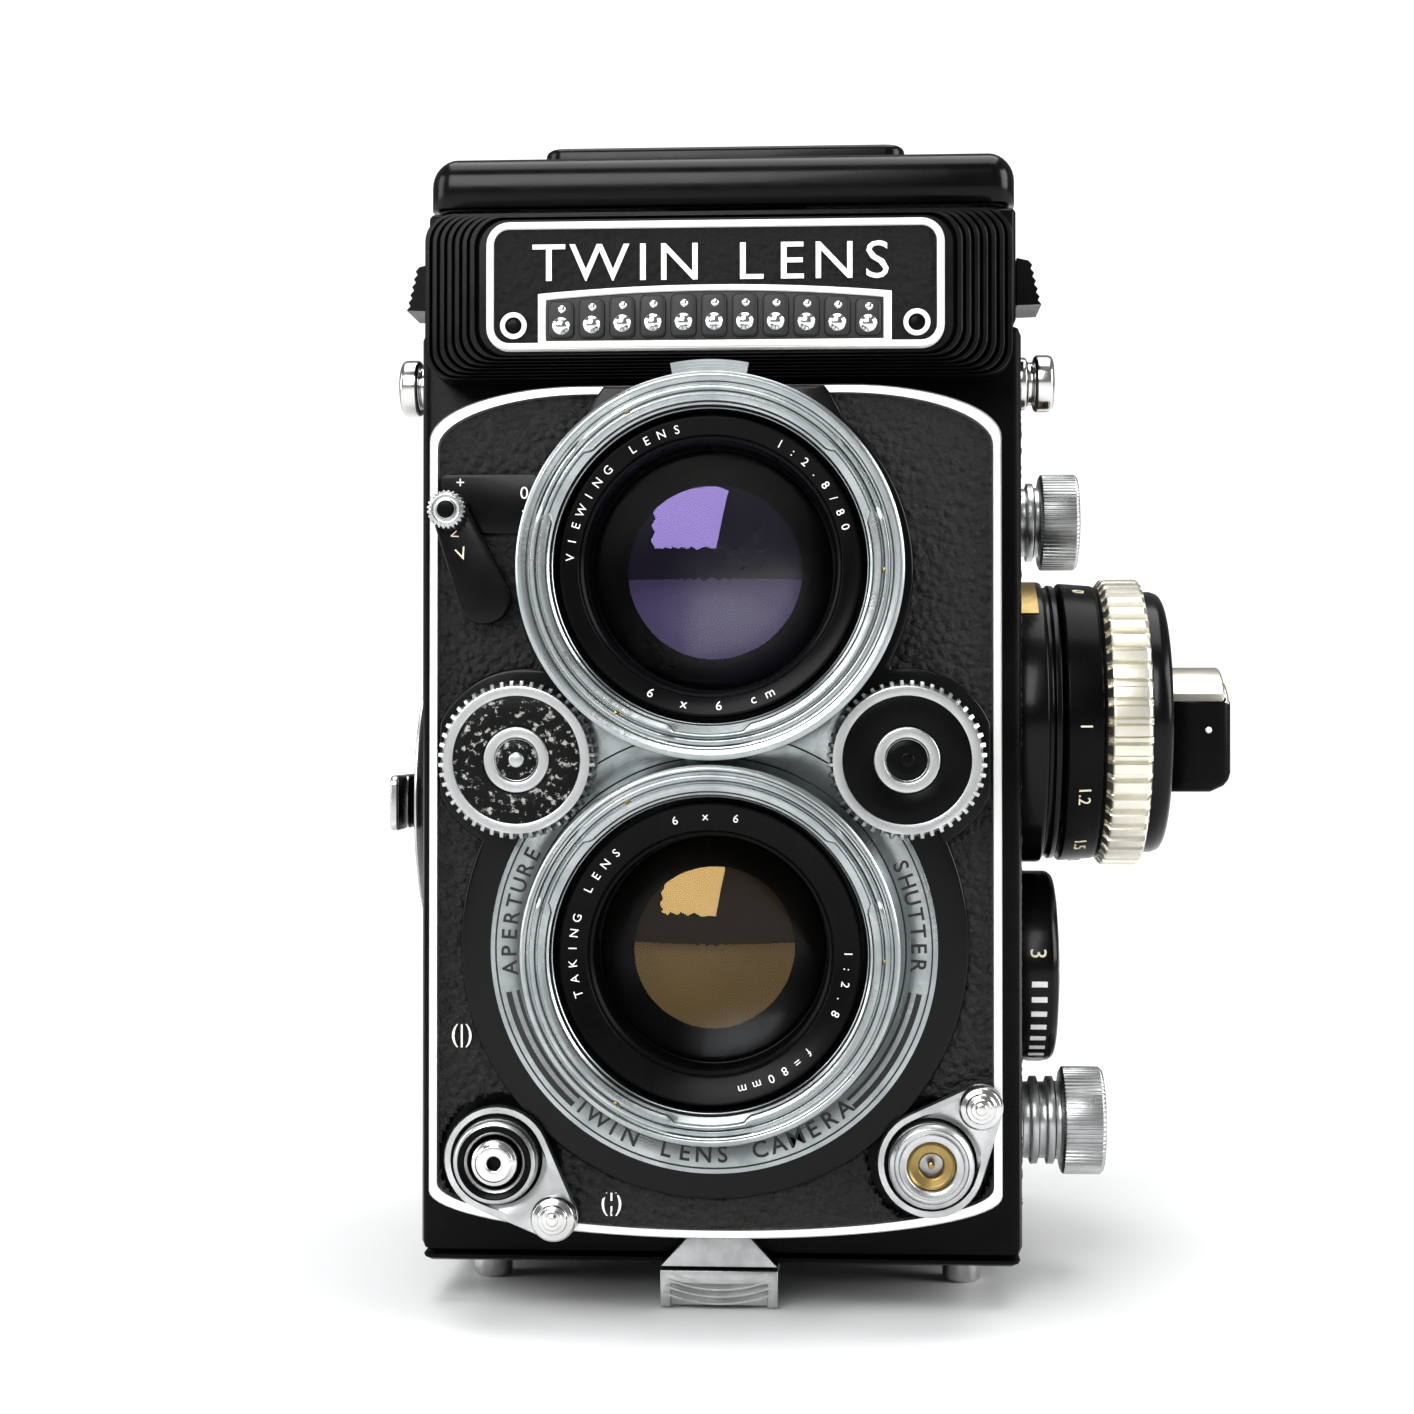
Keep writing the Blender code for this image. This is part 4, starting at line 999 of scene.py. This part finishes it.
def dial():
    at = (OUTSIDE, *DIAL)
    body = "compensation_dial"
    profile = [(0, 5.35), (8.2, 5.35), (8.4, 5.1), (10.6, 5.1), (11.3, 4.9), (11.75, 4.3), (11.8, 3.9),
               (11.8, 0.1), (0, 0.1)]
    lathe("dial_disc", profile, ENAMEL, body, at, "right", ("compensation_dial",), steps=160,
          corner=0.2)
    figures = []
    for index, text in enumerate(("3", "2", "1", "0", "1", "2", "3")):
        figures += around(text, 2.2, 9.5, 5.14, 178 - 26 * index, 1.0)
    glyphs("dial_figures", figures, WHITE, body, at, "right")
    rim_marks("dial_marks", 11, 11.8, 1.7, 3.6, 0.7, WHITE, body, at, "right", start=186, sweep=102)
    glyphs("dial_rim_figure", [("3", 2.8, Matrix.Rotation(math.radians(168), 4, "Z")
                                @ Matrix.Translation((11.8, 0, 2.4)) @ Matrix.Rotation(math.pi / 2, 4, "Y")
                                @ Matrix.Rotation(math.pi / 2, 4, "Z"))], CREAM, body, at,
           "right", height=0.1)


# ---------------------------------------------------------------- left side, body and back

def crank():
    at = (-OUTSIDE, *CRANK)
    dome = [(0, 4.45), (6, 4.4), (11, 4.1), (15, 3.5), (18, 2.6), (19.7, 1.5), (20, 1.0), (20, 0), (0, 0)]
    lathe("crank_dome", dome, ENAMEL, "camera_body", at, "left", ("crank_plate",), corner=1.2)
    lathe("crank_dome_line", [(17.0, 2.6), (17.0, 3.1), (17.5, 2.95), (17.5, 2.5)], SATIN, "camera_body",
          at, "left", corner=0.05)
    arm_at = (-41.2, *CRANK)

    def arm(inset):
        return [(z + 3.0, x) for x, z in rounded(3.4, -8.0, 8.0, 2.2, inset)]

    slab("crank_arm_plate", arm, -1.1, 0.0, CHROME, "crank_arm", arm_at, "left",
         stands_for=("crank_arm",), edge=0.3)
    lathe("crank_pivot", [(0, 0.0), (1.9, 0.0), (2.2, -0.2), (2.2, -1.0), (0, -1.0)], BLACK_RING, "crank_arm",
          arm_at, "left", corner=0.1)

    def grip(inset):
        return [(x + 14.65, z) for x, z in rounded(3.35, -3.4, 3.4, 1.2, inset)]

    slab("crank_grip", grip, -1.1, 0.0, CHROME, "crank_handle", arm_at, "left",
         stands_for=("crank_handle",), edge=0.35)


def body_shell():
    refine("body_casting", SATIN_BLACK, width=0.3)
    refine("back_cover", SATIN_BLACK, width=0.3)
    right_holes = [(*KNOB, 17.9), (*DIAL, 12.2), (*UPPER_SPOOL, 6.4), (*LOWER_SPOOL, 6.4), (*LUG, 4.2)]
    left_holes = [(-CRANK[0], CRANK[1], 20.6), (-LUG[0], LUG[1], 4.2)]
    for side, facing, holes in ((1, "right", right_holes), (-1, "left", left_holes)):
        outline = [(x - 3.0 * side, z) for x, z in rounded(30.5, 9.0, 111.5, 3.0)]
        leather_sheet("side_leather_" + facing, outline, holes, 0.02, "camera_body", (side * SIDE, 0, 0),
                      facing)
    leather_sheet("back_leather", rounded(31.5, 8.0, 108.5, 3.0), [], 0.02, "back_cover", (0, BACK, 0),
                  "back")
    lug = [(0, 4.45), (2.8, 4.45), (3.3, 4.2), (3.45, 3.8), (3.45, 2.4), (3.2, 2.1), (2.6, 1.95), (2.6, 1.35),
           (3.1, 1.15), (3.2, 0.8), (3.2, 0), (0, 0)]
    for side, facing in ((1, "right"), (-1, "left")):
        name = "strap_lug_" + facing
        spot = (side * OUTSIDE, *LUG)
        lathe(name + "_turned", lug, CHROME, "camera_body", spot, facing, (name,), corner=0.15)
        screw(name + "_screw", (side * (SIDE + 4.7), *LUG), facing, 1.4, "camera_body")
    hinge_barrel()
    film_side()


def hinge_barrel():
    """The back's hinge: knuckles on a pin along the top rear edge."""
    length = 62.0 / 7
    for index in range(7):
        low = -31.0 + length * index
        profile = [(0, low + length - 0.3), (0.9, low + length - 0.3), (0.9, low + 0.1), (0, low + 0.1)]
        owner = "back_cover" if index % 2 else "camera_body"
        lathe(f"hinge_knuckle_{index}", profile, SATIN_BLACK, owner, (0, 31.4, 113.1),
              "right", steps=32, corner=0.15)


def film_side():
    """The pieces that show when the back is open."""
    refine("film_gate", BLACK_RING, width=0.2)
    refine("pressure_plate", BLACK_RING, width=0.3)
    roller = [(0, 31.5), (1.2, 31.5), (1.3, 30.2), (2.2, 30.0), (2.2, -30.0), (1.3, -30.2), (1.2, -31.5),
              (0, -31.5)]
    for name, z in (("film_roller_lower", 8.4), ("film_roller_upper", 77.5)):
        lathe(name + "_turned", roller, CHROME, name, (0, 25.5, z), "right", (name,), steps=64)
    spool = [(2.9, 32.0), (12.0, 32.0), (12.3, 31.8), (12.3, 31.2), (6.0, 31.0), (5.9, 12.0), (5.6, 11.8),
             (5.6, -11.8), (5.9, -12.0), (6.0, -31.0), (12.3, -31.2), (12.3, -31.8), (12.0, -32.0),
             (2.9, -32.0)]
    for name, place in (("takeup_spool", UPPER_SPOOL), ("supply_spool", LOWER_SPOOL)):
        lathe(name + "_turned", spool, SATIN_BLACK, name, (0, *place), "right", (name,),
              steps=96)
    repaint("mirror", MIRROR)
    repaint("focusing_screen", SCREEN)


def underside():
    def trapezoid(inset):
        return [(-3.6 + inset * 0.6, 8.6 - inset), (-6.8 + inset * 1.5, 4.95 + inset),
                (6.8 - inset * 1.5, 4.95 + inset), (3.6 - inset * 0.6, 8.6 - inset)]

    slab("catch", trapezoid, 0.3, 1.55, SATIN, "camera_body", (0, -36.0, 0), "front",
         stands_for=("catch_plate",), edge=0.2)
    refine("back_latch", SATIN, width=0.12)
    for index in range(4):
        radius = 15.0 + 0.8 * index
        band(f"latch_rib_{index}", (0, 18.2), (radius - 0.12, radius + 0.12), (248, 292, 20), (0.0, 0.18),
             SATIN, "back_latch", (0, -37.55, 0))
    socket = [(3.2, 5.65), (5.0, 5.65), (5.0, 4.6), (10.5, 4.6), (10.5, 1.5), (10.3, 1.3), (3.5, 1.3),
              (3.2, 1.6)]
    lathe("tripod_boss", socket, TURNED, "back_cover", (0, 0, 0), "up", ("tripod_socket",),
          steps=128)
    foot = [(0, 4.6), (2.6, 4.6), (2.55, 3.9), (2.3, 0.4), (2.0, 0.0), (0, 0)]
    for end, y in (("front", -20), ("rear", 24)):
        for side, x in (("left", -28.7), ("right", 28.7)):
            name = f"foot_{end}_{side}"
            lathe(name + "_turned", foot, CHROME, "back_cover", (x, y, 0), "up", (name,), steps=64,
                  corner=0.15)


# ---------------------------------------------------------------- hood

def rounded_xy(half_x, low, high, radius, inset=0.0):
    return rounded(half_x, low, high, radius, inset, count=10)


def hood():
    body = "hood_lid"
    top = 135.0
    edge = 3.4
    loops = [[(x, y, 133.1) for x, y in rounded_xy(32.9, -32.4, 28.9, 1.8)],
             [(x, y, 128.8) for x, y in rounded_xy(32.9, -32.4, 28.9, 1.8)],
             [(x, y, 128.6) for x, y in rounded_xy(33.2, -32.7, 29.2, 2.0)],
             [(x, y, 128.6) for x, y in rounded_xy(34.3, -33.8, 30.3, 2.8)],
             [(x, y, 128.8) for x, y in rounded_xy(34.5, -34.0, 30.5, 3.0)]]
    for degrees in range(0, 91, 10):
        turn = math.radians(degrees)
        inset = edge * (1 - math.cos(turn))
        height = top - edge + edge * math.sin(turn)
        loops.append([(x, y, height) for x, y in rounded_xy(34.5, -34.0, 30.5, 3.0, inset)])
    loft("lid_shell", loops, ENAMEL, body, (0, 0, 0), "up", stands_for=("hood_lid",),
         angle=50)

    def finder(inset):
        return rounded_xy(21.8, -26.0, 20.0, 2.5, inset)

    slab("finder_panel", finder, 134.9, 137.6, ENAMEL, body, (0, 0, 0), "up",
         stands_for=("finder_plate",), edge=0.8)
    refine("hood_base", SATIN_BLACK, width=0.25)
    for name, side in (("hood_tab_left", -1), ("hood_tab_right", 1)):
        tab(name, side)
    for name in ("flap_left", "flap_right", "flap_rear"):
        refine(name, SATIN_BLACK, width=0.15)
    refine("magnifier_frame", CHROME, width=0.15)
    glass_profile = [(7.2 * i / 12, 0.8 - 0.7 * (i / 12) ** 2) for i in range(13)]
    glass_profile += [(r, -h) for r, h in reversed(glass_profile)]
    lathe("magnifier_lens", glass_profile, CLEAR_GLASS, "magnifier", (0, -6.4, 130.5), "up",
          ("magnifier_glass",), corner=0.02)


def tab(name, side):
    """A serrated release tab at the foot of the hood."""
    near = 34.8
    teeth = 6
    points = [(near, 117.0)]
    for i in range(teeth):
        low = 117.0 + 5.6 * i / teeth
        lean = 2.9 - 1.3 * i / teeth
        points += [(near + lean, low + 0.1), (near + lean - 0.45, low + 0.62)]
    points.append((near, 122.6))
    loops = [[(side * x, z, h) for x, z in points] for h in (22.0, 31.0)]
    loft(name + "_serrated", loops, SATIN_BLACK, name, (0, 0, 0), "front", stands_for=(name,))


# ---------------------------------------------------------------- light, floor and camera

def soft_light(name, place, target, size, power, colour=(1, 1, 1)):
    lamp = bpy.data.lights.new(name, "AREA")
    lamp.shape = "RECTANGLE"
    lamp.size, lamp.size_y = size
    lamp.energy = power
    lamp.color = colour
    thing = bpy.data.objects.new(name, lamp)
    bpy.context.scene.collection.objects.link(thing)
    thing.location = Vector(place)
    thing.rotation_euler = (Vector(target) - Vector(place)).to_track_quat("-Z", "Y").to_euler()


def stage():
    """White surroundings, a pale floor that brightens with distance, and four soft lights."""
    world = bpy.data.worlds.new("studio")
    bpy.context.scene.world = world
    world.use_nodes = True
    tree = world.node_tree
    direct = node(tree, "ShaderNodeLightPath").outputs["Is Camera Ray"]
    link(tree, ramp(tree, direct, 0.0, 1.0, 0.22, 1.0), tree.nodes["Background"].inputs["Strength"])
    tree.nodes["Background"].inputs["Color"].default_value = (1.0, 1.0, 1.0, 1.0)
    bpy.ops.mesh.primitive_plane_add(size=6.0, location=(0, 0, 0))
    floor = bpy.context.object
    floor.name = "pale_floor"
    paint = bpy.data.materials.new("pale_floor")
    paint.use_nodes = True
    tree = paint.node_tree
    shader = tree.nodes["Principled BSDF"]
    shader.inputs["Roughness"].default_value = 0.5
    shader.inputs["Specular IOR Level"].default_value = 0.2
    shader.inputs["Emission Color"].default_value = (1.0, 1.0, 1.0, 1.0)
    place = node(tree, "ShaderNodeSeparateXYZ")
    link(tree, place_on(tree), place.inputs["Vector"])
    from_middle = node(tree, "ShaderNodeVectorMath", operation="LENGTH")
    link(tree, place_on(tree), from_middle.inputs[0])
    beyond = node(tree, "ShaderNodeMath", operation="MAXIMUM")
    link(tree, ramp(tree, place.outputs["Y"], 0.075, 0.32), beyond.inputs[0])
    link(tree, ramp(tree, from_middle.outputs["Value"], 0.25, 0.7), beyond.inputs[1])
    far = beyond.outputs["Value"]
    link(tree, blend_colour(tree, far, (0.82, 0.825, 0.83), (0.1, 0.1, 0.1)), shader.inputs["Base Color"])
    link(tree, ramp(tree, far, 0.0, 1.0, 0.0, 0.92), shader.inputs["Emission Strength"])
    floor.data.materials.append(paint)
    middle = (0.0, 0.0, 0.07)
    soft_light("window", (-0.27, -0.86, 0.6), (0, -0.05, 0.085), (0.62, 0.6), 8.0)
    soft_light("side_window", (0.85, -0.25, 0.4), middle, (0.5, 0.6), 6.0)
    soft_light("top_light", (0.0, 0.1, 1.3), middle, (1.1, 1.1), 13.0)
    soft_light("left_light", (-0.8, -0.2, 0.35), middle, (0.4, 0.6), 3.0)


def camera():
    """A close view from a little to the right of the lens axes."""
    eye = Vector((14.8, -318.0, 66.7)) * MM + ORIGIN
    lens = bpy.data.cameras.new("photo_view")
    lens.sensor_width = 36.0
    lens.lens = 61.8
    lens.clip_start = 0.01
    view = bpy.data.objects.new("photo_view", lens)
    bpy.context.scene.collection.objects.link(view)
    view.location = eye
    view.rotation_euler = (math.radians(90 + 0.6), 0.0, math.radians(3.3))
    bpy.context.scene.camera = view


lens_panel()
wheel("aperture_wheel", -WHEEL_X, True)
wheel("speed_wheel", WHEEL_X, False)
corner_controls()
timer()
bezel()
focus_knob()
side_knobs()
dial()
crank()
body_shell()
underside()
hood()
stage()
camera()
bpy.context.scene.view_settings.view_transform = "Standard"
bpy.context.scene.view_settings.look = "Medium High Contrast"
